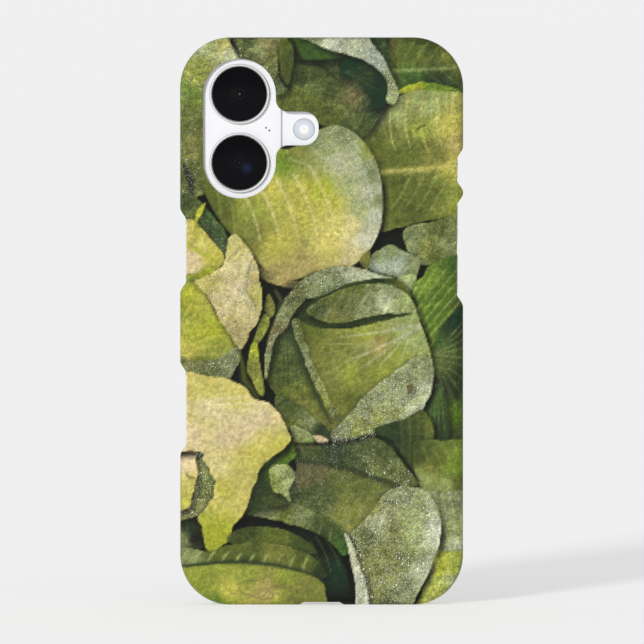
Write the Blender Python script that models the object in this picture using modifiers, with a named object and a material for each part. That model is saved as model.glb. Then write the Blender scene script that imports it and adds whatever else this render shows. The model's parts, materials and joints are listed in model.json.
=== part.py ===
"""A smartphone in a slim hard case, standing upright on the case's bottom edge.

The printed back of the case faces -Y, the screen faces +Y and the top of the phone is +Z.
The origin is on the surface that the case stands on, under the middle of the case.
"""

import math

import bmesh
import bpy
from mathutils import Matrix, Vector

MM = 0.001
FIT = 0.3 * MM  # gap between pieces that touch on the real object

# The case
CASE_WIDTH, CASE_HEIGHT = 75.4 * MM, 151.2 * MM
CASE_CORNER = 13.3 * MM
CASE_WALL = 1.5 * MM
CASE_BACK = 2.0 * MM
CASE_EDGE_ROUND = 2.2 * MM
LIP_THICK, LIP_REACH = 0.7 * MM, 1.3 * MM
NOTCH_DEPTH, NOTCH_RAMP = 1.64 * MM, 3.4 * MM
PORT_RELIEF_WIDTH, PORT_RELIEF_DEPTH, PORT_RELIEF_RAMP = 12.4 * MM, 0.75 * MM, 1.5 * MM

# The phone
PHONE_THICK = 7.8 * MM
PHONE_INSET = CASE_WALL + FIT
PHONE_WIDTH = CASE_WIDTH - 2 * PHONE_INSET
PHONE_HEIGHT = CASE_HEIGHT - 2 * PHONE_INSET
PHONE_CORNER = CASE_CORNER - PHONE_INSET
GLASS_THICK = 0.8 * MM
BAND_LIP = 0.9 * MM  # metal that shows beside each glass
BAND_WALL = 2.6 * MM
PLATEAU_RISE = 0.9 * MM

# Depths along Y, from the case's back to the rim round the screen
CASE_THICK = CASE_BACK + FIT + PHONE_THICK + FIT + LIP_THICK
Y_CASE_BACK = -CASE_THICK / 2
Y_CASE_FLOOR = Y_CASE_BACK + CASE_BACK
Y_PHONE_BACK = Y_CASE_FLOOR + FIT
Y_PHONE_FRONT = Y_PHONE_BACK + PHONE_THICK
Y_LIP = Y_PHONE_FRONT + FIT
Y_CASE_FRONT = CASE_THICK / 2
Y_SIDE = (Y_PHONE_BACK + Y_PHONE_FRONT) / 2  # middle of the metal band
Y_PLATEAU = Y_PHONE_BACK - PLATEAU_RISE
Y_BACK_SEAT = Y_PHONE_BACK + GLASS_THICK + FIT
Y_FRONT_SEAT = Y_PHONE_FRONT - GLASS_THICK - FIT
Y_MID_PLATE = (Y_FRONT_SEAT - 1.45 * MM, Y_FRONT_SEAT - 1.05 * MM)
Y_BOARD = (0.3 * MM, 1.1 * MM)
Y_CHIP = (-0.6 * MM, 0.0)
Y_DEEP = (-1.25 * MM, 1.7 * MM)  # room for the battery and other deep parts
Y_BRACKET = (1.4 * MM, 1.7 * MM)
Y_COIL = (-2.15 * MM, -1.55 * MM)

# The cameras, as seen from behind the phone
LENS_X = -21.87 * MM
LENS_Z = {"upper": 136.2 * MM, "lower": 117.9 * MM}
CAMERA_Z = (LENS_Z["upper"] + LENS_Z["lower"]) / 2
WINDOW_HALF_WIDTH, WINDOW_HALF_HEIGHT = 9.7 * MM, 18.6 * MM
LOBE_END_X, LOBE_HALF, LOBE_ROUND, LOBE_FILLET = -0.8 * MM, 4.5 * MM, 4.0 * MM, 3.2 * MM
PLATEAU_HALF_WIDTH = 11.2 * MM
RING_RADIUS, RING_BORE, RING_FLANGE = 7.95 * MM, 7.15 * MM, 8.9 * MM
Y_RING = (Y_CASE_BACK + 0.2 * MM, -2.7 * MM)
FLASH_X, FLASH_Z, FLASH_RADIUS = -4.7 * MM, 126.8 * MM, 2.8 * MM
MIC_X, MIC_Z = -14.5 * MM, 127.0 * MM

# The side buttons: side (-1 is -X), middle height and length
BUTTONS = {
    "side_button": (-1, 94.5 * MM, 16.0 * MM),
    "camera_button": (-1, 52.4 * MM, 19.0 * MM),
    "action_button": (1, 116.1 * MM, 5.2 * MM),
    "volume_up_button": (1, 101.3 * MM, 10.4 * MM),
    "volume_down_button": (1, 88.0 * MM, 10.4 * MM),
}
BUTTON_WIDTH, BUTTON_PROUD, BUTTON_DEPTH = 3.4 * MM, 0.45 * MM, 2.05 * MM
# Openings in the case's side walls: side, lower end and upper end
NOTCHES = {
    "side_notch": (-1, 83.0 * MM, 106.0 * MM),
    "camera_button_notch": (-1, 39.6 * MM, 65.2 * MM),
    "action_notch": (1, 109.9 * MM, 122.3 * MM),
    "volume_notch": (1, 79.4 * MM, 109.9 * MM),
}

# The bottom edge
PORT_HALF_WIDTH, PORT_HALF_THICK = 4.5 * MM, 1.6 * MM
SCREW_X = 8.3 * MM
SOUND_HOLES_X = [11.2 * MM, 13.2 * MM, 15.2 * MM, 17.2 * MM]
SOUND_HOLE_RADIUS = 0.6 * MM

# The top of the screen side
ISLAND_Z = 140.2 * MM
EARPIECE_SLOT_WIDTH, EARPIECE_SLOT_HEIGHT = 13.0 * MM, 1.1 * MM


def clear_scene():
    for obj in list(bpy.data.objects):
        bpy.data.objects.remove(obj)


def collection(name):
    made = bpy.data.collections.new(name)
    bpy.context.scene.collection.children.link(made)
    return made


def finish(name, colour, roughness, metallic=0.0):
    material = bpy.data.materials.new(name)
    material.use_nodes = True
    shader = material.node_tree.nodes["Principled BSDF"]
    shader.inputs["Base Color"].default_value = (*colour, 1.0)
    shader.inputs["Roughness"].default_value = roughness
    shader.inputs["Metallic"].default_value = metallic
    return material


def keep(obj, material):
    """Makes obj a piece of the phone."""
    PHONE.objects.link(obj)
    obj.data.materials.append(material)
    return obj


def as_tool(obj):
    """Makes obj a cutter, or a shape that is joined into another."""
    TOOLS.objects.link(obj)
    obj.hide_render = True
    obj.display_type = "WIRE"
    return obj


def cut(target, *cutters, operation="DIFFERENCE"):
    for cutter in cutters:
        modifier = target.modifiers.new(cutter.name, "BOOLEAN")
        modifier.operation = operation
        modifier.object = cutter
    return target


def object_from(name, shape):
    mesh = bpy.data.meshes.new(name)
    shape.to_mesh(mesh)
    shape.free()
    return bpy.data.objects.new(name, mesh)


def edges_where(shape, test):
    return [edge for edge in shape.edges if all(test(vertex.co) for vertex in edge.verts)]


def bevel(shape, edges, radius, steps):
    bmesh.ops.bevel(
        shape, geom=edges, offset=radius, segments=steps, profile=0.5, affect="EDGES", material=-1
    )


def slab(name, x, y, z, corner=0.0, steps=6, back_round=0.0, front_round=0.0, round_steps=2):
    """A plate between the given (low, high) spans. corner rounds its outline as seen along Y,
    back_round and front_round soften its outline at -Y and at +Y."""
    spans = (x, y, z)
    size = Vector(high - low for low, high in spans)
    shape = bmesh.new()
    bmesh.ops.create_cube(shape, size=1.0)
    bmesh.ops.scale(shape, vec=size, verts=shape.verts)
    if corner:
        along_y = [e for e in shape.edges if abs(e.verts[0].co.y - e.verts[1].co.y) > size.y / 2]
        bevel(shape, along_y, min(corner, 0.499 * min(size.x, size.z)), steps)
    if back_round:
        bevel(shape, edges_where(shape, lambda co: co.y < -0.4999 * size.y), back_round, round_steps)
    if front_round:
        bevel(shape, edges_where(shape, lambda co: co.y > 0.4999 * size.y), front_round, round_steps)
    made = object_from(name, shape)
    made.location = [(low + high) / 2 for low, high in spans]
    return made


def disc(name, x, z, radius, y, sides=32):
    """A round plate or pin that faces along Y."""
    shape = bmesh.new()
    bmesh.ops.create_cone(
        shape, cap_ends=True, segments=sides, radius1=radius, radius2=radius, depth=y[1] - y[0],
        matrix=Matrix.Rotation(math.radians(90), 4, "X"),
    )
    made = object_from(name, shape)
    made.location = (x, sum(y) / 2, z)
    return made


def upright_pin(name, x, y, z, radius, sides=16):
    """A round pin along Z between the two heights z."""
    shape = bmesh.new()
    bmesh.ops.create_cone(
        shape, cap_ends=True, segments=sides, radius1=radius, radius2=radius, depth=z[1] - z[0]
    )
    made = object_from(name, shape)
    made.location = (x, y, sum(z) / 2)
    return made


def turned(name, x, z, profile, steps=32):
    """A ring turned about an axis along Y. profile lists (radius, y) down its outer side first."""
    shape = bmesh.new()
    corners = [shape.verts.new((radius, 0, -y)) for radius, y in profile]
    for here, following in zip(corners, corners[1:] + corners[:1]):
        shape.edges.new((here, following))
    made = object_from(name, shape)
    made.location = (x, 0, z)
    made.rotation_euler = (math.radians(90), 0, 0)
    screw = made.modifiers.new("turn", "SCREW")
    screw.steps = screw.render_steps = steps
    screw.use_merge_vertices = True
    screw.merge_threshold = 0.01 * MM
    return made


def middle(centre, length):
    return (centre - length / 2, centre + length / 2)


def inset_slab(name, inset, y, **rounding):
    """A slab with the phone's own outline, moved in by inset."""
    return slab(
        name,
        middle(0, PHONE_WIDTH - 2 * inset),
        y,
        middle(CASE_HEIGHT / 2, PHONE_HEIGHT - 2 * inset),
        corner=PHONE_CORNER - inset,
        steps=10,
        **rounding,
    )


def extruded_outline(name, points, y):
    """A prism along Y over an outline of (x, z) points."""
    curve = bpy.data.curves.new(name, "CURVE")
    curve.dimensions = "2D"
    curve.fill_mode = "BOTH"
    curve.extrude = (y[1] - y[0]) / 2
    spline = curve.splines.new("POLY")
    spline.points.add(len(points) - 1)
    for point, (x, z) in zip(spline.points, points):
        point.co = (x, z, 0, 1)
    spline.use_cyclic_u = True
    drawn = bpy.data.objects.new(name, curve)
    drawn.location = (0, sum(y) / 2, 0)
    drawn.rotation_euler = (math.radians(90), 0, 0)
    bpy.context.scene.collection.objects.link(drawn)
    graph = bpy.context.evaluated_depsgraph_get()
    mesh = bpy.data.meshes.new_from_object(drawn.evaluated_get(graph))
    shape = bmesh.new()
    shape.from_mesh(mesh)
    bmesh.ops.remove_doubles(shape, verts=shape.verts, dist=0.001 * MM)
    bmesh.ops.recalc_face_normals(shape, faces=shape.faces)
    shape.to_mesh(mesh)
    shape.free()
    made = bpy.data.objects.new(name, mesh)
    made.matrix_world = drawn.matrix_world
    bpy.data.objects.remove(drawn)
    return made


def arc(x, z, radius, start, end, steps):
    """Points on an arc about (x, z), from one angle to another in degrees."""
    angles = [math.radians(start + (end - start) * i / steps) for i in range(steps + 1)]
    return [(x + radius * math.cos(a), z + radius * math.sin(a)) for a in angles]


def camera_window_outline():
    """The case's opening: an upright pill round both lenses, with a lobe for the flash."""
    side = LENS_X + WINDOW_HALF_WIDTH
    straight = WINDOW_HALF_HEIGHT - WINDOW_HALF_WIDTH
    fillet_z = LOBE_HALF + LOBE_FILLET
    end_x, end_z = LOBE_END_X - LOBE_ROUND, LOBE_HALF - LOBE_ROUND
    return [
        *arc(LENS_X, CAMERA_Z + straight, WINDOW_HALF_WIDTH, 180, 0, 24),
        *arc(side + LOBE_FILLET, CAMERA_Z + fillet_z, LOBE_FILLET, 180, 270, 6),
        *arc(end_x, CAMERA_Z + end_z, LOBE_ROUND, 90, 0, 8),
        *arc(end_x, CAMERA_Z - end_z, LOBE_ROUND, 0, -90, 8),
        *arc(side + LOBE_FILLET, CAMERA_Z - fillet_z, LOBE_FILLET, 90, 180, 6),
        *arc(LENS_X, CAMERA_Z - straight, WINDOW_HALF_WIDTH, 0, -180, 24),
    ]


def side_notch(name, side, low, high):
    """Cutters for an opening in a side wall: one with ramped ends, one for the lip in front of it."""
    wall, floor = side * (CASE_WIDTH / 2 + 1 * MM), side * (CASE_WIDTH / 2 - NOTCH_DEPTH)
    spread = NOTCH_RAMP * (1 * MM / NOTCH_DEPTH)
    points = [
        (wall, low - spread),
        (wall, high + spread),
        (floor, high - NOTCH_RAMP),
        (floor, low + NOTCH_RAMP),
    ]
    opening = extruded_outline(name, points, (2 * Y_CASE_BACK, 2 * Y_CASE_FRONT))
    inner = side * (PHONE_WIDTH / 2 - LIP_REACH - 0.5 * MM)
    lip = slab(
        name + "_lip",
        tuple(sorted((inner, wall))),
        (Y_LIP - FIT / 2, 2 * Y_CASE_FRONT),
        (low + NOTCH_RAMP, high - NOTCH_RAMP),
    )
    return as_tool(opening), as_tool(lip)


def case_shell():
    shell = slab(
        "case_shell",
        middle(0, CASE_WIDTH),
        (Y_CASE_BACK, Y_CASE_FRONT),
        (0, CASE_HEIGHT),
        corner=CASE_CORNER,
        steps=12,
        back_round=CASE_EDGE_ROUND,
        front_round=0.5 * MM,
        round_steps=4,
    )
    pocket = inset_slab("phone_pocket", -FIT, (Y_CASE_FLOOR, Y_LIP))
    screen_gap = inset_slab("screen_gap", LIP_REACH - FIT, (0, 2 * Y_CASE_FRONT))
    relief = slab(
        "plateau_relief",
        middle(LENS_X, 2 * (PLATEAU_HALF_WIDTH + FIT)),
        (Y_PLATEAU - FIT, 0),
        middle(CAMERA_Z, LENS_Z["upper"] - LENS_Z["lower"] + 2 * (PLATEAU_HALF_WIDTH + FIT)),
        corner=PLATEAU_HALF_WIDTH + FIT,
        steps=10,
    )
    window = extruded_outline("camera_window", camera_window_outline(), (2 * Y_CASE_BACK, 0))
    flat, outer = PORT_RELIEF_WIDTH / 2 - PORT_RELIEF_RAMP, PORT_RELIEF_WIDTH / 2
    below = 1 * MM
    spread = PORT_RELIEF_RAMP * below / PORT_RELIEF_DEPTH
    port_relief = extruded_outline(
        "port_relief",
        [
            (-outer - spread, -below),
            (outer + spread, -below),
            (flat, PORT_RELIEF_DEPTH),
            (-flat, PORT_RELIEF_DEPTH),
        ],
        (2 * Y_CASE_BACK, 2 * Y_CASE_FRONT),
    )
    for tool in (pocket, screen_gap, relief, window, port_relief):
        as_tool(tool)
    cut(shell, pocket, screen_gap, relief, window, port_relief)
    wall_low, wall_high = -1 * MM, CASE_WALL + FIT / 2
    for name, centre, length, thick in (
        ("port_window", 0, 12.4 * MM, 6.2 * MM),
        ("sound_window_left", -14.2 * MM, 10.4 * MM, 2.8 * MM),
        ("sound_window_right", 14.2 * MM, 10.4 * MM, 2.8 * MM),
    ):
        # The slab's outline is rounded along Y, so it is turned to be rounded along Z.
        window = slab(
            name,
            middle(0, length),
            (wall_low, wall_high),
            middle(0, thick),
            corner=thick / 2,
        )
        window.rotation_euler = (math.radians(90), 0, 0)
        window.location = (centre, Y_SIDE, (wall_low + wall_high) / 2)
        cut(shell, as_tool(window))
    for name, (side, low, high) in NOTCHES.items():
        cut(shell, *side_notch(name, side, low, high))
    return keep(shell, CASE_PLASTIC)


def side_band():
    band = inset_slab(
        "side_band",
        0,
        (Y_PHONE_BACK + 0.1 * MM, Y_PHONE_FRONT - 0.1 * MM),
        back_round=0.7 * MM,
        front_round=0.7 * MM,
    )
    bore = inset_slab("band_bore", BAND_WALL, (2 * Y_CASE_BACK, 2 * Y_CASE_FRONT))
    back_seat = inset_slab("back_seat", BAND_LIP, (2 * Y_CASE_BACK, Y_BACK_SEAT))
    front_seat = inset_slab("front_seat", BAND_LIP, (Y_FRONT_SEAT, 2 * Y_CASE_FRONT))
    for tool in (bore, back_seat, front_seat):
        cut(band, as_tool(tool))
    for name, (side, height, length) in BUTTONS.items():
        cut(band, as_tool(button_shape(name + "_slot", side, height, length, FIT, 4 * MM)))
    low, high = PHONE_INSET - 1 * MM, PHONE_INSET + BAND_WALL + 1 * MM
    cut(band, as_tool(port_shape("port_hole", FIT, (low, high))))
    for sign in (-1, 1):
        hole = upright_pin(f"screw_hole_{sign}", sign * SCREW_X, Y_SIDE, (low, high), 1.05 * MM)
        cut(band, as_tool(hole))
        for number, x in enumerate(SOUND_HOLES_X):
            hole = upright_pin(
                f"sound_hole_{sign}_{number}", sign * x, Y_SIDE, (low, high), SOUND_HOLE_RADIUS, 8
            )
            cut(band, as_tool(hole))
    return keep(band, ALUMINIUM)


def button_shape(name, side, height, length, grow=0.0, extra=0.0):
    """A pill-shaped key in the phone's side wall. grow widens it and extra lengthens it both ways."""
    depth = BUTTON_DEPTH + 2 * extra
    shape = slab(
        name,
        middle(0, BUTTON_WIDTH + 2 * grow),
        middle(0, depth),
        middle(0, length + 2 * grow),
        corner=BUTTON_WIDTH / 2 + grow,
        steps=8,
        back_round=0.0 if extra else 0.25 * MM,
        round_steps=1,
    )
    outer = PHONE_WIDTH / 2 + BUTTON_PROUD
    shape.location = (side * (outer - BUTTON_DEPTH / 2), Y_SIDE, height)
    shape.rotation_euler = (0, 0, side * math.radians(90))
    return shape


def buttons():
    for name, (side, height, length) in BUTTONS.items():
        keep(button_shape(name, side, height, length), ALUMINIUM)


def switch_strips():
    """The flexible strip inside each side wall, with a switch behind each button."""
    wall = PHONE_WIDTH / 2 - BAND_WALL
    for name, side in (("left_switch_strip", -1), ("right_switch_strip", 1)):
        heights = [height for button_side, height, _ in BUTTONS.values() if button_side == side]
        strip_x = tuple(sorted((side * (wall - 0.7 * MM), side * (wall - 0.3 * MM))))
        pad_x = tuple(sorted((side * (wall - 0.5 * MM), side * (wall + 0.55 * MM))))
        low, high = min(heights) - 4 * MM, max(heights) + 4 * MM
        strip = slab(name, strip_x, middle(Y_SIDE, 2.2 * MM), (low, high))
        for number, height in enumerate(heights):
            pad = slab(f"{name}_pad_{number}", pad_x, middle(Y_SIDE, 1.6 * MM), middle(height, 4 * MM))
            cut(strip, as_tool(pad), operation="UNION")
        keep(strip, COPPER_FLEX)


def glass_panels():
    outline = BAND_LIP + FIT
    back = inset_slab("back_glass", outline, (Y_PHONE_BACK, Y_PHONE_BACK + GLASS_THICK))
    pill_height = LENS_Z["upper"] - LENS_Z["lower"] + 2 * PLATEAU_HALF_WIDTH
    plateau = slab(
        "camera_plateau",
        middle(LENS_X, 2 * PLATEAU_HALF_WIDTH),
        (Y_PLATEAU, Y_PHONE_BACK + GLASS_THICK / 2),
        middle(CAMERA_Z, pill_height),
        corner=PLATEAU_HALF_WIDTH,
        steps=10,
        back_round=0.5 * MM,
    )
    hollow = slab(
        "plateau_hollow",
        middle(LENS_X, 2 * (PLATEAU_HALF_WIDTH - GLASS_THICK)),
        (Y_PLATEAU + GLASS_THICK, 0),
        middle(CAMERA_Z, pill_height - 2 * GLASS_THICK),
        corner=PLATEAU_HALF_WIDTH - GLASS_THICK,
        steps=10,
    )
    cut(back, as_tool(plateau), operation="UNION")
    cut(back, as_tool(hollow))
    through = (2 * Y_CASE_BACK, 0)
    for name, z in LENS_Z.items():
        cut(back, as_tool(disc(f"{name}_lens_hole", LENS_X, z, RING_RADIUS + FIT, through)))
    cut(back, as_tool(disc("flash_hole", FLASH_X, FLASH_Z, FLASH_RADIUS + FIT, through)))
    cut(back, as_tool(disc("mic_hole", MIC_X, MIC_Z, 0.5 * MM, through, 12)))
    keep(back, WHITE_GLASS)

    front_y = (Y_PHONE_FRONT - GLASS_THICK, Y_PHONE_FRONT)
    front = inset_slab("front_glass", outline, front_y, front_round=0.3 * MM)
    glass_top = CASE_HEIGHT - PHONE_INSET - outline
    slot_z = (glass_top - EARPIECE_SLOT_HEIGHT, glass_top + 1 * MM)
    slot = slab("earpiece_slot", middle(0, EARPIECE_SLOT_WIDTH), (0, 2 * Y_CASE_FRONT), slot_z)
    keep(cut(front, as_tool(slot)), BLACK_GLASS)
    mesh_z = (slot_z[0] + FIT, glass_top)
    mesh_y = (front_y[0], front_y[1] - 0.3 * MM)
    keep(slab("earpiece_mesh", middle(0, EARPIECE_SLOT_WIDTH - 2 * FIT), mesh_y, mesh_z), STEEL)


def display():
    fit_inside = BAND_WALL + FIT
    panel = inset_slab("display_panel", fit_inside, (Y_FRONT_SEAT - 0.7 * MM, Y_FRONT_SEAT))
    island = slab(
        "island_hole",
        middle(0, 20.4 * MM),
        (0, 2 * Y_CASE_FRONT),
        middle(ISLAND_Z, 6 * MM),
        corner=3 * MM,
    )
    keep(cut(panel, as_tool(island)), BLACK_GLASS)
    plate = inset_slab("mid_plate", fit_inside, Y_MID_PLATE)
    port_gap = slab("port_gap", middle(0, 10.6 * MM), (0, 2 * Y_CASE_FRONT), (0, 13.6 * MM))
    keep(cut(plate, island, as_tool(port_gap)), STEEL)
    keep(disc("front_camera", -6.2 * MM, ISLAND_Z, 2.2 * MM, (0.0, Y_FRONT_SEAT), 24), LENS_BLACK)
    sensor = slab("face_sensor", (-1.0 * MM, 8.6 * MM), (0.0, Y_FRONT_SEAT), middle(ISLAND_Z, 4 * MM))
    keep(sensor, LENS_BLACK)


def cameras():
    ring_back, ring_front = Y_RING
    flange = ring_front - 0.35 * MM
    for name, z in LENS_Z.items():
        ring = turned(
            f"{name}_lens_ring",
            LENS_X,
            z,
            [
                (RING_RADIUS - 0.2 * MM, ring_back),
                (RING_RADIUS, ring_back + 0.2 * MM),
                (RING_RADIUS, flange),
                (RING_FLANGE, flange),
                (RING_FLANGE, ring_front),
                (RING_BORE, ring_front),
                (RING_BORE, ring_back),
            ],
            steps=40,
        )
        keep(ring, ALUMINIUM)
        glass = (ring_back + 0.15 * MM, ring_back + 0.75 * MM)
        keep(disc(f"{name}_lens_glass", LENS_X, z, RING_BORE - FIT, glass, 40), BLACK_GLASS)
        body = slab(
            f"{name}_camera",
            middle(LENS_X, 15.6 * MM),
            (ring_front + FIT, Y_BRACKET[0] - FIT),
            middle(z, 15.6 * MM),
            corner=1 * MM,
            steps=2,
        )
        barrel = (glass[1] + FIT, ring_front + 1 * MM)
        cut(body, as_tool(disc(f"{name}_barrel", LENS_X, z, 4.6 * MM, barrel, 24)), operation="UNION")
        keep(body, LENS_BLACK)
    bracket = slab(
        "camera_bracket",
        middle(LENS_X, 15.6 * MM),
        Y_BRACKET,
        middle(CAMERA_Z, LENS_Z["upper"] - LENS_Z["lower"] + 15.6 * MM),
        corner=1 * MM,
        steps=2,
    )
    keep(bracket, STEEL)
    lens = (Y_PHONE_BACK, Y_PHONE_BACK + GLASS_THICK - 0.05 * MM)
    keep(disc("flash_lens", FLASH_X, FLASH_Z, FLASH_RADIUS, lens), CLEAR_PLASTIC)
    led = (Y_BACK_SEAT, Y_BACK_SEAT + 1 * MM)
    keep(slab("flash_led", middle(FLASH_X, 3 * MM), led, middle(FLASH_Z, 3 * MM)), CHIP)
    mic = (Y_PLATEAU + GLASS_THICK + FIT, Y_RING[1])
    keep(slab("rear_microphone", middle(MIC_X, 2.4 * MM), mic, middle(MIC_Z, 2.4 * MM)), CHIP)


def boards():
    left_x = (-32.2 * MM, -8.2 * MM)
    keep(slab("logic_board", left_x, Y_BOARD, (30 * MM, 105.5 * MM)), CIRCUIT_BOARD)
    keep(slab("radio_board", (-12.5 * MM, 32.2 * MM), Y_BOARD, (119.5 * MM, 136 * MM)), CIRCUIT_BOARD)
    keep(slab("port_board", (-7.8 * MM, 30 * MM), Y_BOARD, (21 * MM, 28.5 * MM)), CIRCUIT_BOARD)
    shield = slab("board_shield", (-31 * MM, -9.4 * MM), (Y_DEEP[0], 0), (33 * MM, 103 * MM))
    hollow_y = (Y_CHIP[0] - FIT, 1 * MM)
    inside = slab("shield_inside", (-30.6 * MM, -9.8 * MM), hollow_y, (33.4 * MM, 102.6 * MM))
    keep(cut(shield, as_tool(inside)), STEEL)
    keep(slab("processor", (-26 * MM, -13 * MM), Y_CHIP, (75 * MM, 88 * MM)), CHIP)
    keep(slab("memory_chip", (-25.5 * MM, -13.5 * MM), Y_CHIP, (56 * MM, 70 * MM)), CHIP)
    keep(slab("battery_connector", (20 * MM, 26 * MM), Y_CHIP, (121 * MM, 124 * MM)), CHIP)
    keep(slab("display_connector", (10 * MM, 16 * MM), Y_CHIP, (121 * MM, 124 * MM)), CHIP)
    keep(slab("radio_chip", (4 * MM, 13 * MM), Y_CHIP, (127 * MM, 134 * MM)), CHIP)
    lead = slab("battery_lead", (21 * MM, 25 * MM), (-0.5 * MM, -0.2 * MM), (117.3 * MM, 120.7 * MM))
    keep(lead, COPPER_FLEX)


def power_and_sound():
    battery = slab(
        "battery", (-7.4 * MM, 32.2 * MM), Y_DEEP, (30 * MM, 117 * MM), corner=1.5 * MM, steps=2
    )
    keep(battery, BATTERY_WRAP)
    centre = CASE_HEIGHT / 2
    for name, inner, outer, material in (
        ("charging_coil", 11 * MM, 22 * MM, COPPER),
        ("magnet_ring", 23 * MM, 27 * MM, STEEL),
    ):
        back, front = Y_COIL
        profile = [(outer, back), (outer, front), (inner, front), (inner, back)]
        keep(turned(name, 0, centre, profile, steps=48), material)
    keep(slab("loudspeaker", (-30 * MM, -9.7 * MM), Y_DEEP, (7.2 * MM, 28.5 * MM)), BLACK_PLASTIC)
    keep(slab("vibration_motor", (9.7 * MM, 30 * MM), Y_DEEP, (8 * MM, 19.5 * MM)), STEEL)
    floor = PHONE_INSET + BAND_WALL + FIT
    mic = slab("bottom_microphone", (-14 * MM, -11 * MM), middle(0, 1 * MM), (floor, floor + 2.2 * MM))
    keep(mic, CHIP)
    earpiece_z = (143.6 * MM, 146.4 * MM)
    earpiece = slab("earpiece", middle(-1 * MM, 15 * MM), (-1 * MM, 1.7 * MM), earpiece_z)
    keep(earpiece, BLACK_PLASTIC)


def port_shape(name, grow, z):
    """The charging port's outer shape, a rounded slot along Z."""
    shape = slab(
        name,
        middle(0, 2 * (PORT_HALF_WIDTH + grow)),
        middle(0, z[1] - z[0]),
        middle(0, 2 * (PORT_HALF_THICK + grow)),
        corner=PORT_HALF_THICK + grow,
    )
    shape.rotation_euler = (math.radians(90), 0, 0)
    shape.location = (0, Y_SIDE, sum(z) / 2)
    return shape


def charging_port():
    bottom = PHONE_INSET + 0.1 * MM
    port = port_shape("charge_port", 0, (bottom, 13 * MM))
    cut(port, as_tool(port_shape("port_inside", -FIT, (bottom - 1 * MM, 10.5 * MM))))
    keep(port, STEEL)
    tongue_z = (bottom + 0.8 * MM, 10.2 * MM)
    tongue = slab("port_tongue", middle(0, 6.4 * MM), middle(Y_SIDE, 0.7 * MM), tongue_z)
    keep(tongue, BLACK_PLASTIC)
    for name, x in (("bottom_screw_left", -SCREW_X), ("bottom_screw_right", SCREW_X)):
        keep(upright_pin(name, x, Y_SIDE, (bottom, 6.4 * MM), 0.75 * MM), STEEL)


clear_scene()
PHONE = collection("phone_in_case")
TOOLS = collection("cutters")
CASE_PLASTIC = finish("case_plastic", (0.22, 0.27, 0.06), 0.4)
ALUMINIUM = finish("aluminium", (0.8, 0.8, 0.82), 0.35, 1.0)
WHITE_GLASS = finish("white_glass", (0.85, 0.85, 0.87), 0.3)
BLACK_GLASS = finish("black_glass", (0.005, 0.005, 0.008), 0.05)
LENS_BLACK = finish("lens_black", (0.01, 0.01, 0.015), 0.3)
CLEAR_PLASTIC = finish("clear_plastic", (0.8, 0.82, 0.85), 0.1)
CIRCUIT_BOARD = finish("circuit_board", (0.02, 0.06, 0.05), 0.5)
CHIP = finish("chip", (0.02, 0.02, 0.02), 0.4)
STEEL = finish("steel", (0.55, 0.55, 0.55), 0.35, 1.0)
COPPER = finish("copper", (0.7, 0.35, 0.2), 0.35, 1.0)
COPPER_FLEX = finish("copper_flex", (0.35, 0.16, 0.04), 0.45)
BATTERY_WRAP = finish("battery_wrap", (0.02, 0.02, 0.022), 0.55)
BLACK_PLASTIC = finish("black_plastic", (0.015, 0.015, 0.015), 0.5)

case_shell()
side_band()
buttons()
switch_strips()
glass_panels()
display()
cameras()
boards()
power_and_sound()
charging_port()
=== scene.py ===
"""The looks of a smartphone in a thin hard case that is printed with a heap of savoy cabbages.

The case's printed back faces -Y, the screen faces +Y and +Z is up. Lengths in the functions that
make pieces are metres. The picture on the case is worked out in millimetres, as seen from behind.
"""

import json
import math

import bmesh
import bpy
import numpy as np
from mathutils import Matrix, Vector

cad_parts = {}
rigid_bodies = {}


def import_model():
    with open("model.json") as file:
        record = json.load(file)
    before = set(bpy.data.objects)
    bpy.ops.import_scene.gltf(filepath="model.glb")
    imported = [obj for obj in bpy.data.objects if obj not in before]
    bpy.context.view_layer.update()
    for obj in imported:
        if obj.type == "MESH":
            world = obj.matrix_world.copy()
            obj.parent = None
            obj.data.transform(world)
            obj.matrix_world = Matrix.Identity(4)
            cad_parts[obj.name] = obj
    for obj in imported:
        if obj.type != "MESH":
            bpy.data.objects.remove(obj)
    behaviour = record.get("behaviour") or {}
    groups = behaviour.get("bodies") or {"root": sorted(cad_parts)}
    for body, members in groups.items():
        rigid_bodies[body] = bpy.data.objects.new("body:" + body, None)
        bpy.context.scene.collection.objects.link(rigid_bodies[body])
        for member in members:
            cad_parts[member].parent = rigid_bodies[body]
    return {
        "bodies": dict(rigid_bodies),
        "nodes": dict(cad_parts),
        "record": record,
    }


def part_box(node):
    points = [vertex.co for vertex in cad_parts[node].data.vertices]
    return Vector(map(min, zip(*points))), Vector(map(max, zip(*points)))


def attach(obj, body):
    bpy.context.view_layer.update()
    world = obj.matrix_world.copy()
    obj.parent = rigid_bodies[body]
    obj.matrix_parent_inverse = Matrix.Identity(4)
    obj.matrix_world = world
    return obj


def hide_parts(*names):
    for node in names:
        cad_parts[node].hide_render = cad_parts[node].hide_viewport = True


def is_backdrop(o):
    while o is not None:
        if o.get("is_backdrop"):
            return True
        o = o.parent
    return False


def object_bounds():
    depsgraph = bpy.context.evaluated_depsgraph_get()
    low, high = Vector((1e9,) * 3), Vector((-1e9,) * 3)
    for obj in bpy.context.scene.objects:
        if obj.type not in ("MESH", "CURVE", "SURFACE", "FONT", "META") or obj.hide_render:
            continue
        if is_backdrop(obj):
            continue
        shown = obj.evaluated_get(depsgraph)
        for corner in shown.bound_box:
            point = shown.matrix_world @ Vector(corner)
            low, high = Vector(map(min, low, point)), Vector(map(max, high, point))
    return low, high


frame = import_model()
cad_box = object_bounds()

MM = 0.001
PHONE = "phone"

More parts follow.
